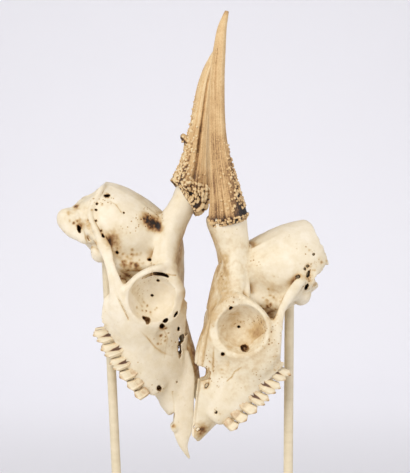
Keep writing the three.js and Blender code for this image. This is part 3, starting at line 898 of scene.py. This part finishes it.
for name, keep, nodes in (
    ("first_bone_rear", x - JOINT, ("braincase", "pedicle_left", "pedicle_right")),
    (
        "first_bone_front",
        np.maximum(
            np.maximum(JOINT - OVERLAP - x, ahead - OVERLAP / 2), first_clay.depth + UNDER
        ),
        jaw_nodes + arch_nodes,
    ),
    (
        "first_premaxillae",
        np.maximum(-OVERLAP / 2 - ahead, 120 - x),
        ("premaxilla_left", "premaxilla_right"),
    ),
):
    relief_and_place = (first_place, FIRST_SUTURES, FIRST_ROUGH)
    bone_piece(name, first_clay, keep, FIRST_STAINS, nodes, *relief_and_place)

# ---- The first skull's nasals --------------------------------------------------------------
# Two thin tapering bones side by side, which roof the nose. They are held to the frontals and
# the upper jaws by their sutures, and end in a notched point over the nose opening.


def shape_nasals():
    """A tapering roof, hollowed below, with a groove between the bones and a notched end."""
    clay = Clay((100, 0, 0), (170, 16, 44), 0.6)
    clay.add(bone_box(NASALS, ends=1.5))
    under = [
        (x, low - 6, high - 2.6, a - 1, b - 1.2, c - 1) for x, low, high, a, b, c in NASALS[2:6]
    ]
    clay.carve(bone_box(under, ends=1), 0.6)
    clay.carve(limb([(x, 0, high + 0.3, 0.5, 0.7) for x, _, high, *_ in NASALS]), 0.8)
    clay.carve(limb([(156, 0, 12, 0.4, 6), (170, 0, 6, 2, 6)]), 0.6)
    clay.even_out()
    clay.mirror()
    return clay


# A broad brown over the nasals: partly stain, and partly painted shade on the bones where they turn
# away from the light.
NASAL_STAIN_AND_SHADE = [(138, 0, 22, 30, 0.3)]
bone_piece("first_nasals", shape_nasals(), None, NASAL_STAIN_AND_SHADE, ("nasals",), first_place)

# ---- The cheek teeth -----------------------------------------------------------------------
# Six on each side, three premolars with one lobe and three molars with two. Enamel crescents
# over brown dentine, held in sockets along the jaw's edge, with tan tartar at the gum, and stain
# with painted shade on the faces between teeth and in the clefts between lobes.

# Length along the jaw, crown below the gum, lobes, from the front premolar back.
CHEEK_TEETH = [
    (8, 5.6, 1),
    (8.5, 7, 1),
    (8.5, 8.6, 1),
    (10.5, 9.8, 2),
    (11.5, 10.4, 2),
    (11.5, 10.2, 2),
]
TOOTH_BREADTH = 11.5
# Where the row runs: its front end along the skull, how far aside it stands and how high its
# gum is at the front and at the rear, and how far a front crown leans back and a rear one more.
TOOTH_ROW = {
    "front": 140,
    "front_side": 17.8,
    "rear_side": 25.4,
    "gum_front": -22.5,
    "gum_rear": -15.5,
    "lean": 0.2,
    "more_lean": 0.2,
}


def closed_skin(rings):
    """Quads between rings of equal count, and a fan to the middle of the first and last."""
    rows, sides, _ = rings.shape
    points = np.concatenate([rings.reshape(-1, 3), rings[:1].mean(1), rings[-1:].mean(1)])
    a = np.arange(rows - 1)[:, None] * sides + np.arange(sides)
    b = np.arange(rows - 1)[:, None] * sides + np.roll(np.arange(sides), -1)
    quads = np.stack([a, b, b + sides, a + sides], axis=-1).reshape(-1, 4)
    here, after = np.arange(sides), np.roll(np.arange(sides), -1)
    last = (rows - 1) * sides
    first_fan = np.stack([np.full(sides, rows * sides), after, here], axis=1)
    last_fan = np.stack([np.full(sides, rows * sides + 1), last + here, last + after], axis=1)
    p, q, r, s = (points[quads[:, k]] for k in range(4))
    volume = (p * (np.cross(q, r) + np.cross(r, s))).sum()
    faces = [quads, np.concatenate([first_fan, last_fan])]
    return points, [group[:, ::-1] for group in faces] if volume < 0 else faces


# A crown's outline from root to worn face: share of its height, share of its breadth.
TOOTH_PROFILE = [
    (-2, 0.9),
    (0, 0.9),
    (0.3, 0.97),
    (0.7, 1.02),
    (0.9, 0.98),
    (1, 0.8),
    (0.9, 0.5),
    (0.8, 0.12),
]


def tooth_rings(length, breadth, crown, lobes, root=4.5):
    """A pillar on a rounded-square outline, pinched between its lobes, that leans in to two
    rows of cusps and dips between them."""
    turn = np.linspace(0, 2 * pi, 49)[:-1]
    ahead = np.sign(np.cos(turn)) * np.abs(np.cos(turn)) ** 0.55
    aside = np.sign(np.sin(turn)) * np.abs(np.sin(turn)) ** 0.6
    pinch = 1 - 0.3 * np.exp(-((ahead / 0.2) ** 2)) * (lobes == 2)
    ribs = 1 + 0.07 * np.cos(3 * pi * ahead * lobes)
    shift = 0.5 if lobes == 2 else 0
    cusp = (0.5 + 0.5 * np.cos(2 * pi * (ahead * lobes / 2 + shift))) * np.abs(aside)
    rings = []
    for level, scale in smooth_rows([(-root, 0.8), *TOOTH_PROFILE], 3):
        height = level if level < 0 else level * crown
        lift = np.clip(level, 0, 1) ** 3 * crown * 0.24 * (cusp - 0.8)
        across = aside * breadth / 2 * scale * pinch * ribs
        rings.append(np.stack([ahead * length / 2 * scale, across, -(height + lift)], axis=1))
    return np.array(rings)


def tooth_row(name, side, place, lift=0.0):
    """One side's six teeth as one piece; side is 1 for the left, and lift raises the row."""
    turn, at = place
    row = TOOTH_ROW
    row_length = sum(tooth[0] for tooth in CHEEK_TEETH)
    points, quads, fans, level, begin, along = [], [], [], [], 0, 0.0
    for length, crown, lobes in CHEEK_TEETH:
        share = (along + length / 2) / row_length
        bow = sin(share * pi / 2)
        aside = row["front_side"] + (row["rear_side"] - row["front_side"]) * bow
        gum = row["gum_front"] + (row["gum_rear"] - row["gum_front"]) * share + lift
        spot, (quad, fan) = closed_skin(tooth_rings(length * 1.02, TOOTH_BREADTH, crown, lobes))
        along_tooth = spot[:, 0].copy()
        spot[:, 0] += (row["lean"] + row["more_lean"] * share) * np.minimum(spot[:, 2], 0)
        # edge and cleft darken the faces between teeth and the clefts between lobes: some stain,
        # and painted shade where the neighbours close in.
        edge = np.clip(np.abs(along_tooth) / length * 2 - 0.9, 0, 0.1) / 0.1
        cleft = np.exp(-((along_tooth / length / 0.05) ** 2)) * (lobes == 2)
        level.append(np.clip(-spot[:, 2] / crown, 0, 1.1) - 0.7 * np.maximum(edge, cleft))
        points.append((spot + (row["front"] - share * row_length, aside, gum)) * (1, side, 1))
        quads.append(quad + begin)
        fans.append(fan + begin)
        begin += len(spot)
        along += length
    quads, fans = np.concatenate(quads), np.concatenate(fans)
    if side < 0:
        quads, fans = quads[:, ::-1], fans[:, ::-1]
    points = np.concatenate(points) @ turn.T + at
    level = np.concatenate(level)
    make_piece(name, points, [quads, fans], tooth_enamel, (), "bone", crown=level)


# Tooth enamel, worn and dry: smooth and a little glossy, ivory on the crown, with brown tartar
# towards the gum, dark dentine on the worn face, and stain with painted shade between the teeth.
tooth_enamel, tree, shader = new_material("tooth_enamel")
where = add_node(tree, "TexCoord").outputs["Object"]
streaks = add_node(tree, "TexNoise", {"Vector": where, "Scale": 260, "Detail": 4})
# This mark carries the height up the crown and the painted shade between teeth and lobes.
crown_and_shade = add_node(tree, "Attribute", attribute_name="crown").outputs["Fac"]
tartar_and_shade = weighted_sum(tree, ((crown_and_shade, 0.8), (streaks.outputs["Fac"], 0.35)))
tree.links.new(
    colour_ramp(
        tree,
        tartar_and_shade,
        (
            (0.0, "5e3c22"),
            (0.1, "c4a077"),
            (0.22, "e6d5b2"),
            (0.75, "efe3c8"),
            (0.92, "d6b88a"),
            (1, "9a6e42"),
        ),
    ),
    shader.inputs["Base Color"],
)
shader.inputs["Roughness"].default_value = 0.4
shader.inputs["IOR"].default_value = 1.62

tooth_row("first_teeth_left", 1, first_place, -2)
tooth_row("first_teeth_right", -1, first_place, -2)

# ---- The antlers ---------------------------------------------------------------------------
# Solid antler bone, cast each year from the pedicle. A knobbly burr rings each foot, pearls
# run up from it and thin out, and gutters left by blood vessels run on towards the bare tip.

# Rows: along, sideways, up, beam diameter.
FIRST_ANTLERS = [
    (40, 19.2, 84.6, 25),
    (37.7, 19.8, 89.2, 29),
    (30.6, 21.6, 96.2, 27),
    (20.8, 24, 106, 19.4),
    (10, 25.5, 116, 15.2),
    (-0.3, 26.5, 125.7, 12.6),
    (-11.3, 26.5, 135.7, 11.2),
    (-22, 26, 146.4, 9.6),
    (-31, 24.5, 158.4, 7.4),
    (-38, 22.5, 171, 2.4),
]
SPUR = [(21.7, 24, 105, 8), (10.7, 24, 108.6, 7), (1.5, 23.5, 108.1, 5.5), (-0.3, 23.5, 107.7, 2)]


def beam(
    rows, seed, rings=460, sides=200, pearls=420, rear=pi, lean=0.0, gutters=(), rows_of_beads=8
):
    """Circles square to a smooth curve, whose radius carries gutters (waves round the beam that
    wander along it), a burr of rows of beads, and pearls (half-balls, gone by mid-length on the
    side at the angle rear). The foot leans over by the tangent lean. Also gives how far up each
    point is, how raised, and how it lies in the fibre."""
    rows = smooth_rows(rows, 24)
    pieces = np.linalg.norm(np.diff(rows[:, :3], axis=0), axis=1)
    length = np.concatenate([[0], np.cumsum(pieces)])
    place = np.linspace(0, length[-1], rings)
    at = np.stack([np.interp(place, length, rows[:, k]) for k in range(3)], axis=1)
    radius = np.interp(place, length, rows[:, 3]) / 2
    ahead = np.gradient(at, axis=0)
    ahead /= np.linalg.norm(ahead, axis=1, keepdims=True)
    wide = np.array(ALONG_STALK) - (ahead @ np.array(ALONG_STALK))[:, None] * ahead
    wide /= np.linalg.norm(wide, axis=1, keepdims=True)
    deep = np.cross(ahead, wide)
    turn = np.linspace(0, 2 * pi, sides, endpoint=False)
    along, around = np.meshgrid(place, turn, indexing="ij")
    size = radius[:, None]
    pick = np.random.default_rng(seed)
    fade = np.clip(1 - along / (0.85 * length[-1]), 0, 1)
    relief = np.zeros_like(along)
    for count, depth in ((3, 0.07), (7, 0.04), (11, 0.035), (19, 0.03), (31, 0.02)):
        drift = pick.uniform(-1, 1, 3)
        phase = drift[0] * 6 + drift[1] * np.sin(along / 33 + 3 * drift[2])
        phase += 0.3 * np.sin(along / 11)
        wave = np.cos(count * around + phase)
        relief -= size * depth * np.maximum(wave, -0.3) * (0.4 + 0.6 * fade)
    for at_angle, width, deep_cut in gutters:
        off = (around - at_angle - 0.15 * np.sin(along / 30) + pi) % (2 * pi) - pi
        span = np.clip((along - 12) / 25, 0, 1) * np.clip((length[-1] - along) / 30, 0, 1)
        relief -= size * deep_cut * span * np.exp(-((off / width) ** 2))
    fine = sum(
        np.cos(k * around + 1.7 * k + 2 * np.sin(along / (9 + k % 7) + k)) for k in (23, 37, 53, 71)
    )
    streak = relief / size * 9 + 0.35 * fine
    foot = np.exp(-((along / 1.8 / rows_of_beads) ** 2))
    behind = np.clip(np.cos(around - rear) * 1.4, 0, 1)
    rough = np.maximum(foot, np.exp(-((along / 34) ** 2)) * behind)
    rough = np.clip(rough * 1.3, 0, 1)
    relief -= 0.8 * rough + 0.07 * size * np.exp(-along / 1.2)
    ground = relief.copy()
    beads = []
    for row in range(rows_of_beads):
        up = 0.9 + 1.9 * row
        count = int(2 * pi * np.interp(up, place, radius) / 2.1)
        for k in range(count):
            angle = 2 * pi * (k + row % 2 / 2 + pick.uniform(-0.3, 0.3)) / count
            if pick.uniform() > 0.06 * row:
                beads.append((up + pick.uniform(-0.5, 0.5), angle, pick.uniform(0.85, 1.35)))
    for _ in range(pearls):
        up = 10 + abs(pick.normal()) * 24
        beads.append((up, rear + 0.8 * pick.normal(), pick.uniform(0.7, 1.3) * (1 - 0.4 * up / 90)))
    for up, side, big in beads:
        here = np.interp(up, place, radius)
        low, high = np.searchsorted(place, (up - 2 * big, up + 2 * big))
        off = (around[low:high] - side + pi) % (2 * pi) - pi
        far = ((along[low:high] - up) ** 2 + (off * here) ** 2) / big**2
        knob = ground[low:high] + 1.3 * big * np.sqrt(np.maximum(1 - far, 0))
        relief[low:high] = np.maximum(relief[low:high], knob)
    crevice = rough * np.clip(1 - (relief - ground) / 0.8, 0, 1)
    radius = size + relief
    slip = -lean * radius * np.cos(around) * np.exp(-((along / 12) ** 2))
    points = at[:, None] + radius[..., None] * (
        np.cos(around)[..., None] * wide[:, None] + np.sin(around)[..., None] * deep[:, None]
    )
    points = points + slip[..., None] * ahead[:, None]
    tip = np.append(along.ravel() / length[-1], (0, 1))
    dark_tip = 12 * np.clip(along / length[-1] - 0.965, 0, 1)
    height = 0.35 * np.clip(relief - ground, 0, 1.2) - crevice - dark_tip
    height = np.append(height.ravel(), (0, -0.4))
    return points, tip, height, np.append(streak.ravel(), (0, 0))


# Antler of a roe buck in hard horn: rubbed and dry, brown in the gutters and between the
# pearls where sap dried in, worn to ivory on the pearls' tops and the tip.
hard_antler, tree, shader = new_material("hard_antler")
where = add_node(tree, "TexCoord").outputs["Object"]
up_beam = add_node(tree, "Attribute", attribute_name="up_beam").outputs["Fac"]
raised_part = add_node(tree, "Attribute", attribute_name="raised").outputs["Fac"]
fibre = add_node(tree, "Attribute", attribute_name="fibre").outputs["Fac"]
sap = add_node(tree, "TexNoise", {"Vector": where, "Scale": 90, "Detail": 6, "Roughness": 0.65})
fibres = add_node(tree, "TexNoise", {"Vector": where, "Scale": 900, "Detail": 3})
rubbed = weighted_sum(
    tree,
    (
        (raised_part, 0.42),
        (fibre, 0.1),
        (sap.outputs["Fac"], 0.42),
        (up_beam, 0.16),
        (fibres.outputs["Fac"], 0.3),
    ),
)
tree.links.new(
    colour_ramp(
        tree,
        rubbed,
        (
            (0.0, "1a100a"),
            (0.12, "4c311c"),
            (0.24, "8d683f"),
            (0.36, "c49e6c"),
            (0.52, "dcbd8c"),
            (0.8, "efdfba"),
        ),
    ),
    shader.inputs["Base Color"],
)
shader.inputs["Roughness"].default_value = 0.55
shader.inputs["IOR"].default_value = 1.53
relief = weighted_sum(tree, ((sap.outputs["Fac"], 1.0), (fibres.outputs["Fac"], 0.4)))
bump = add_node(tree, "Bump", {"Height": relief, "Strength": 0.6, "Distance": 0.0006})
tree.links.new(bump.outputs[0], shader.inputs["Normal"])


def antler_piece(
    name,
    rows,
    seed,
    side,
    place,
    nodes,
    lean,
    gutters,
    beads,
    shift=(0, 0, 0),
    spur=False,
    pale=0.0,
):
    """One antler: side is 1 for the left, and -1 mirrors it. shift moves it a little, spur adds
    the small tine, and pale makes it as light as bare antler further up."""
    turn, at = place
    rings, tip, height, fibre = beam(rows, seed, lean=lean, gutters=gutters, rows_of_beads=beads)
    points, faces = closed_skin(rings)
    if spur:
        rings, spur_tip, spur_height, spur_fibre = beam(SPUR, seed + 1, 60, 60, 30, rows_of_beads=1)
        spur_points, spur_faces = closed_skin(rings)
        faces = [np.concatenate([a, b + len(points)]) for a, b in zip(faces, spur_faces)]
        points = np.concatenate([points, spur_points])
        tip = np.concatenate([tip, np.full(len(spur_tip), 0.4)])
        height = np.concatenate([height, spur_height])
        fibre = np.concatenate([fibre, spur_fibre - 0.6])
    points = (points * (1, side, 1) + shift) @ turn.T + at
    if side < 0:
        faces = [group[:, ::-1] for group in faces]
    marks = {"up_beam": tip + pale, "raised": height, "fibre": fibre}
    return make_piece(name, points, faces, hard_antler, nodes, "antler", **marks)


# Gutters along a beam: the angle round it, half-width as an angle, depth as a share of radius.
FIRST_GUTTERS = [(pi / 2 - 0.25, 0.2, 0.26), (pi / 2 + 0.5, 0.14, 0.1), (-1.2, 0.2, 0.15)]
SECOND_GUTTERS = [(pi / 2 - 0.3, 0.12, 0.07), (-1.4, 0.2, 0.15)]
for name, seed, side, extra in (
    ("antler_left", 11, 1, {}),
    ("antler_right", 12, -1, {"spur": True, "pale": 0.7}),
):
    foot = (0.5, FIRST_GUTTERS, 8)
    antler_piece("first_" + name, FIRST_ANTLERS, seed, side, first_place, (name,), *foot, **extra)

# ---- The second skull ----------------------------------------------------------------------
# The other buck's skull, held by its antlers against the first. Its occipital, nasal and
# premaxillary bones are lost, so the braincase is open behind and the nose in front.

SECOND_SKULL = {"at": (107.6, -10, 221.6), "facing": 180, "pitch": -44.1, "turn": 4}
# Rows: along, sideways, up, beam diameter.
SECOND_ANTLERS = [
    (35.8, 19.5, 83.5, 26),
    (33.3, 20, 87.6, 29.5),
    (27.5, 21.3, 95.5, 25.5),
    (19.5, 23, 106.8, 20.5),
    (5.3, 24.5, 127, 14.2),
    (-9.6, 25, 144.3, 11.6),
    (-29.7, 25, 164.8, 10.6),
    (-44, 24.3, 177.4, 9),
    (-56.5, 23, 187.5, 6.8),
    (-67.8, 21, 194, 3),
]
# Rows: along, sideways, up, half-width, half-depth.
SECOND_CHEEK_ARCH = [
    (106, 27, 1, 4, 9),
    (97, 31, 0.5, 4.5, 10),
    (88, 34.6, 0.5, 3.8, 9.5),
    (79, 38, 1.5, 3, 8.5),
    (72, 40.3, 4.5, 2.4, 6.4),
    (64, 41.5, 9, 2, 4.2),
    (57.5, 41.8, 12.9, 1.8, 3),
    (51.5, 41.2, 16, 1.8, 2.8),
    (41.3, 38, 18.4, 2.2, 3.8),
    (27, 28.5, 19.5, 3, 3.6),
]
SECOND_PEDICLE = [
    (55, 13.5, 52, 14, 12),
    (51.4, 15, 59.4, 11, 10.5),
    (46.8, 17, 67, 10.8, 9.6),
    (42.6, 18.3, 73.5, 11.4, 9.2),
    (37, 19.8, 83, 12.8, 9.4),
    (34.5, 20.5, 87.5, 13, 9.4),
]
TIP_OF_FRONTAL = [
    (98, 12, 37, 3, 3.4),
    (106, 12.3, 34.6, 2.6, 3.2),
    (114, 12.6, 31, 2.2, 2.8),
    (122, 12.4, 26.4, 1.2, 1.3),
]
# The empty braincase, as rows of a bone box.
BRAIN_CAVITY = [
    (-14, 22, 40, 12, 14, 11),
    (2, 18, 43.5, 14, 17, 12),
    (14, 12, 50.5, 19, 24, 17),
    (30, 11, 57, 21, 26, 20),
    (46, 15, 61, 16, 18, 16),
]
# What broke away with the occipital bone: a block's middle, size and tilt, and over what span
# its edge wanders how far.
LOST_OCCIPUT = [
    (((1.5, 0, -2), (39, 80, 31)), 9, 0.9),
    (((-8, 0, 18), (20, 80, 60), -25), 11, 0.9),
]
NOTCH_IN_MUZZLE = (155, 10.5, -7), (1.8, 3, 1.5)
NOTCH_UNDER_NASALS = (125.5, 12, 20.5), (5, 18, 7), 38
# Small holes: along, sideways, up, half-length, half-width, pitch.
SECOND_HOLES = [
    (8.8, 25, 26.1, 1, 1, 0),
    (18, 27, 23.6, 1, 1, 0),
    (20.8, 27, 23.4, 0.8, 0.8, 0),
    (28.2, 28, 22.6, 1.4, 1.2, 0),
    (21.5, 27, 19, 2.6, 1, 30),
    (28.2, 22, 13.4, 2.8, 1.2, 30),
    (78.3, 34, 40.8, 1.5, 1.1, 0),
    (83.1, 20, 26.1, 1, 1, 0),
    (91, 31, 12.8, 2.6, 3.4, 0),
    (105, 31, 21, 1.3, 1.3, 0),
    (128.8, 20, 11.7, 2, 1, 20),
    (137.1, 20, -6.4, 1.2, 0.9, 30),
]
# Stains: along, sideways (right is below 0), up, radius, strength.
SECOND_STAINS = [
    (95, 30, 10, 45, 0.1),
    (62, 20, 60, 28, 0.14),
    (92, 24, 13, 4, 0.35),
    (18, 27, 23.6, 3, 0.2),
    (28.2, 28, 22.6, 4, 0.3),
    (24, 26, 16, 5, 0.25),
    (62, 14, 18, 9, 0.35),
    (60, 26, 17, 4, 0.2),
    (48, 24, 26, 10, 0.12),
    (98, 22, 22, 6, 0.12),
    (80, 27, 34, 6, 0.1),
    (128.8, 20, 11.7, 3, 0.3),
    (126, 8, 14, 5, 0.3),
    (154, 10, -9, 7, 0.4),
    (80, 28, -8, 6, 0.2),
    *scatter((56, 23, 24), 9, 60, 1.0, 0.25, 41),
    *scatter((12, 26, 20), 12, 60, 1.0, 0.25, 42),
    *scatter((112, 24, 16), 9, 40, 0.9, 0.2, 43),
]
second_place = skull_place(**SECOND_SKULL)
SECOND_SUTURES = [
    (0.3, 0.5, [(102.2, 31, 5.3), (108, 30, 6), (112, 29, 4.5), (116.2, 28, 4.8)]),
    (0.25, 0.6, [(104, 24, 31), (108, 26, 27), (112, 27, 23), (118, 26, 17)]),
    (0.2, 0.6, [(74, 30, -8), (77, 30, 2), (76, 34, 8)]),
    (0.3, 0.6, [(119, 22, 20), (122, 24, 16), (127, 24, 12)]),
]
SECOND_ROUGH = [
    (10, 20, 16, 10, 1.0),
    (30, 22, 8, 9, 1.0),
    (54, 23, 24, 9, 0.6),
    (62, 14, 18, 8, 1.5),
    (152, 8, -8, 8, 0.8),
]
SECOND_BRAINCASE = [
    (-7, 22, 46.5, 9, 12, 8),
    (3, 8, 52.5, 18, 22, 16),
    (13, 5, 57.5, 23, 28, 21),
    (27, 6, 62, 25, 30, 23.5),
    *BRAINCASE[4:],
]
SECOND_BROW = [
    (60, 50, 68, 24, 24, 20),
    (69, 33, 64, 34, 31, 20),
    (79, 22, 57.5, 37.5, 33, 19),
    (90, 15, 50, 37, 32, 18),
    (101, 6, 42.5, 32, 28, 16),
    (112, 0, 35.5, 27, 25, 14),
]
second_clay = shape_skull(
    False,
    SECOND_BRAINCASE,
    SECOND_BROW,
    SECOND_PEDICLE,
    SECOND_CHEEK_ARCH,
    ((23, 21.5, 15), (8.5, 7, 6.5)),
    (63.7, 0, -11.3),
    SECOND_HOLES,
    lift=3,
    sockets=4,
)
x = second_clay.axes[0][:, None, None]
for name, keep in (
    ("second_bone_rear", x - JOINT),
    ("second_bone_front", np.maximum(JOINT - OVERLAP - x, second_clay.depth + UNDER)),
):
    relief_and_place = (second_place, SECOND_SUTURES, SECOND_ROUGH)
    bone_piece(name, second_clay, keep, SECOND_STAINS, ("second_skull",), *relief_and_place)
tooth_row("second_teeth_left", 1, second_place, 2.5)
tooth_row("second_teeth_right", -1, second_place, 2.5)
for name, seed, side, shift in (
    ("second_antler_left", 21, 1, (0, 0, 0)),
    ("second_antler_right", 22, -1, (-2, 0, -2)),
):
    foot = (0.0, SECOND_GUTTERS, 3)
    antler_piece(name, SECOND_ANTLERS, seed, side, second_place, (), *foot, shift)

# ---- The rods and the board ----------------------------------------------------------------
# Two beech dowels painted cream, each pushed up into its skull and down into a drilled socket
# in a board with rounded corners, painted to match.

BOARD = {"length": 240, "depth": 150, "height": 18, "corner": 6, "bevel": 1.5}
ROD = {"radius": 3.4, "socket": 12, "in_skull": 3}
FIRST_ROD = {"foot": (-55.2, 11.5), "seat": (42.6, 0, 10.4)}
SECOND_ROD = {"foot": (67.3, -11), "seat": (44.5, 0, 10.5)}

# Eggshell paint over wood: cream, with a slight sheen, and brushed along the length.
cream_paint, tree, shader = new_material("cream_paint")
where = add_node(tree, "TexCoord").outputs["Object"]
stretch = add_node(tree, "Mapping", {"Vector": where, "Scale": (40, 260, 260)})
brushed = add_node(tree, "TexNoise", {"Vector": stretch.outputs[0], "Scale": 1, "Detail": 3})
tree.links.new(
    colour_ramp(tree, brushed.outputs["Fac"], ((0.3, "dccfb2"), (0.7, "e7dbc1"))),
    shader.inputs["Base Color"],
)
shader.inputs["Roughness"].default_value = 0.48
bump = add_node(
    tree, "Bump", {"Height": brushed.outputs["Fac"], "Strength": 0.2, "Distance": 0.0002}
)
tree.links.new(bump.outputs[0], shader.inputs["Normal"])


def dowel(name, foot, seat, place):
    """A round rod from its socket to its seat, with its ends eased over half a millimetre."""
    turn, at = place
    top = turn @ np.array(seat, float) + at
    floor = np.array([*foot, BOARD["height"]], float)
    lean = (top - floor) / np.linalg.norm(top - floor)
    start, end = floor - lean * ROD["socket"], top + lean * ROD["in_skull"]
    long = np.linalg.norm(end - start)
    wide = np.cross(lean, (0, 1, 0))
    wide /= np.linalg.norm(wide)
    deep = np.cross(lean, wide)
    shank = np.linspace(2, long - 2, 60)
    place_up = np.concatenate([[0, 0.2, 0.5], shank, [long - 0.5, long - 0.2, long]])
    ease = 1 - 0.16 * np.clip(1 - np.minimum(place_up, long - place_up) / 0.5, 0, 1) ** 2
    angle = np.linspace(0, 2 * pi, 40, endpoint=False)
    circle = np.cos(angle)[:, None] * wide + np.sin(angle)[:, None] * deep
    rings = start + place_up[:, None, None] * lean + (ROD["radius"] * ease)[:, None, None] * circle
    points, faces = closed_skin(rings)
    make_piece(name, points, faces, cream_paint, (name,), "stand")


def board():
    """A rounded rectangle carried round a bevelled edge, closed over the top and below."""
    half = np.array([BOARD["length"], BOARD["depth"]]) / 2
    turn = np.linspace(0, 2 * pi, 97)[:-1] + pi / 96
    corner = np.sign(np.stack([np.cos(turn), np.sin(turn)], axis=1))
    quarter = turn % (pi / 2)
    swing = np.where((turn // (pi / 2)) % 2 == 0, quarter, pi / 2 - quarter)
    arc = np.stack([np.cos(swing), np.sin(swing)], axis=1)
    bevel, high = BOARD["bevel"], BOARD["height"]
    edge = np.linspace(0, pi / 2, 5)
    out, over = bevel * (1 - np.sin(edge)), bevel * (1 - np.cos(edge))
    inset = np.concatenate([[60], out, over, [60]])
    level = np.concatenate([[0], over, high - out, [high]])
    rings = []
    for gap, z in zip(inset, level):
        flat = corner * (half - BOARD["corner"] - max(gap - BOARD["corner"], 0))
        flat = flat + corner * arc * max(BOARD["corner"] - gap, 0.4)
        rings.append(np.column_stack([flat, np.full(len(flat), z)]))
    points, faces = closed_skin(np.array(rings))
    make_piece("stand_board", points, faces, cream_paint, ("stand_base",), "stand")


dowel("stand_rod_first", **FIRST_ROD, place=first_place)
dowel("stand_rod_second", **SECOND_ROD, place=second_place)
board()

# ---- The studio ----------------------------------------------------------------------------
# A pale seamless paper sweep under and behind the stand, a large soft light in front, one at
# each side and one over the paper, and a long lens level with the middle of the pair.

# Metres: across, from the front edge back to where it bends up, and its height behind.
SWEEP = {"half_width": 6, "front": -5, "bend": 2.2, "radius": 1.0, "top": 5}
arc = np.linspace(0, pi / 2, 24)
profile = np.concatenate(
    [
        [(SWEEP["front"], 0.0)],
        (SWEEP["bend"], 0) + SWEEP["radius"] * np.stack([np.sin(arc), 1 - np.cos(arc)], axis=1),
        [(SWEEP["bend"] + SWEEP["radius"], SWEEP["top"])],
    ]
)
sweep_points = np.array([(x * SWEEP["half_width"], y, z) for y, z in profile for x in (-1, 1)])
strip = np.arange(len(profile) - 1)[:, None] * 2 + np.array([0, 1, 3, 2])
sweep_mesh = bpy.data.meshes.new("paper_sweep")
sweep_mesh.from_pydata(sweep_points.tolist(), [], strip.tolist())
for face in sweep_mesh.polygons:
    face.use_smooth = True
sweep = bpy.data.objects.new("paper_sweep", sweep_mesh)
bpy.context.scene.collection.objects.link(sweep)

# Matt background paper, pale grey with a touch of violet.
paper, tree, shader = new_material("background_paper")
shader.inputs["Base Color"].default_value = linear("e9e9ed")
shader.inputs["Roughness"].default_value = 0.9
sweep_mesh.materials.append(paper)


def soft_light(name, at, target, size, power, colour, spread=180):
    """A square area light, aimed at a point, whose light leaves within spread degrees."""
    lamp = bpy.data.lights.new(name, "AREA")
    lamp.spread = radians(spread)
    lamp.size, lamp.energy, lamp.color = size, power, linear(colour)[:3]
    shown = bpy.data.objects.new(name, lamp)
    bpy.context.scene.collection.objects.link(shown)
    shown.location = at
    shown.rotation_euler = (Vector(target) - Vector(at)).to_track_quat("-Z", "Y").to_euler()
    shown.visible_camera = False
    return shown


soft_light("front_light", (-0.7, -1.9, 1.3), (0, 0, 0.25), 1.4, 29, "fffaf0")
soft_light("left_light", (-1.6, -0.8, 0.8), (0, 0, 0.25), 1.0, 5, "fffaf2")
soft_light("right_light", (1.6, -0.8, 0.8), (0, 0, 0.25), 1.0, 8, "fffaf2")
soft_light("paper_light", (0, 1.7, 2.4), (0, 2.4, 0), 1.6, 12.5, "fffdff", 110)

world = bpy.data.worlds.new("studio")
world.use_nodes = True
world.node_tree.nodes["Background"].inputs["Color"].default_value = linear("f1f0f5")
world.node_tree.nodes["Background"].inputs["Strength"].default_value = 0.53
bpy.context.scene.world = world
bpy.context.scene.view_settings.view_transform = "Standard"

CAMERA_AT = (0.0073, -1.8, 0.2471)
lens = bpy.data.cameras.new("camera")
lens.lens = 36 * (1800 / 0.73) / 473  # 0.73 mm to a pixel at 1.8 m, 473 pixels high
lens.clip_end = 20
camera = bpy.data.objects.new("camera", lens)
bpy.context.scene.collection.objects.link(camera)
camera.location = CAMERA_AT
camera.rotation_euler = (pi / 2, 0, 0)
bpy.context.scene.camera = camera
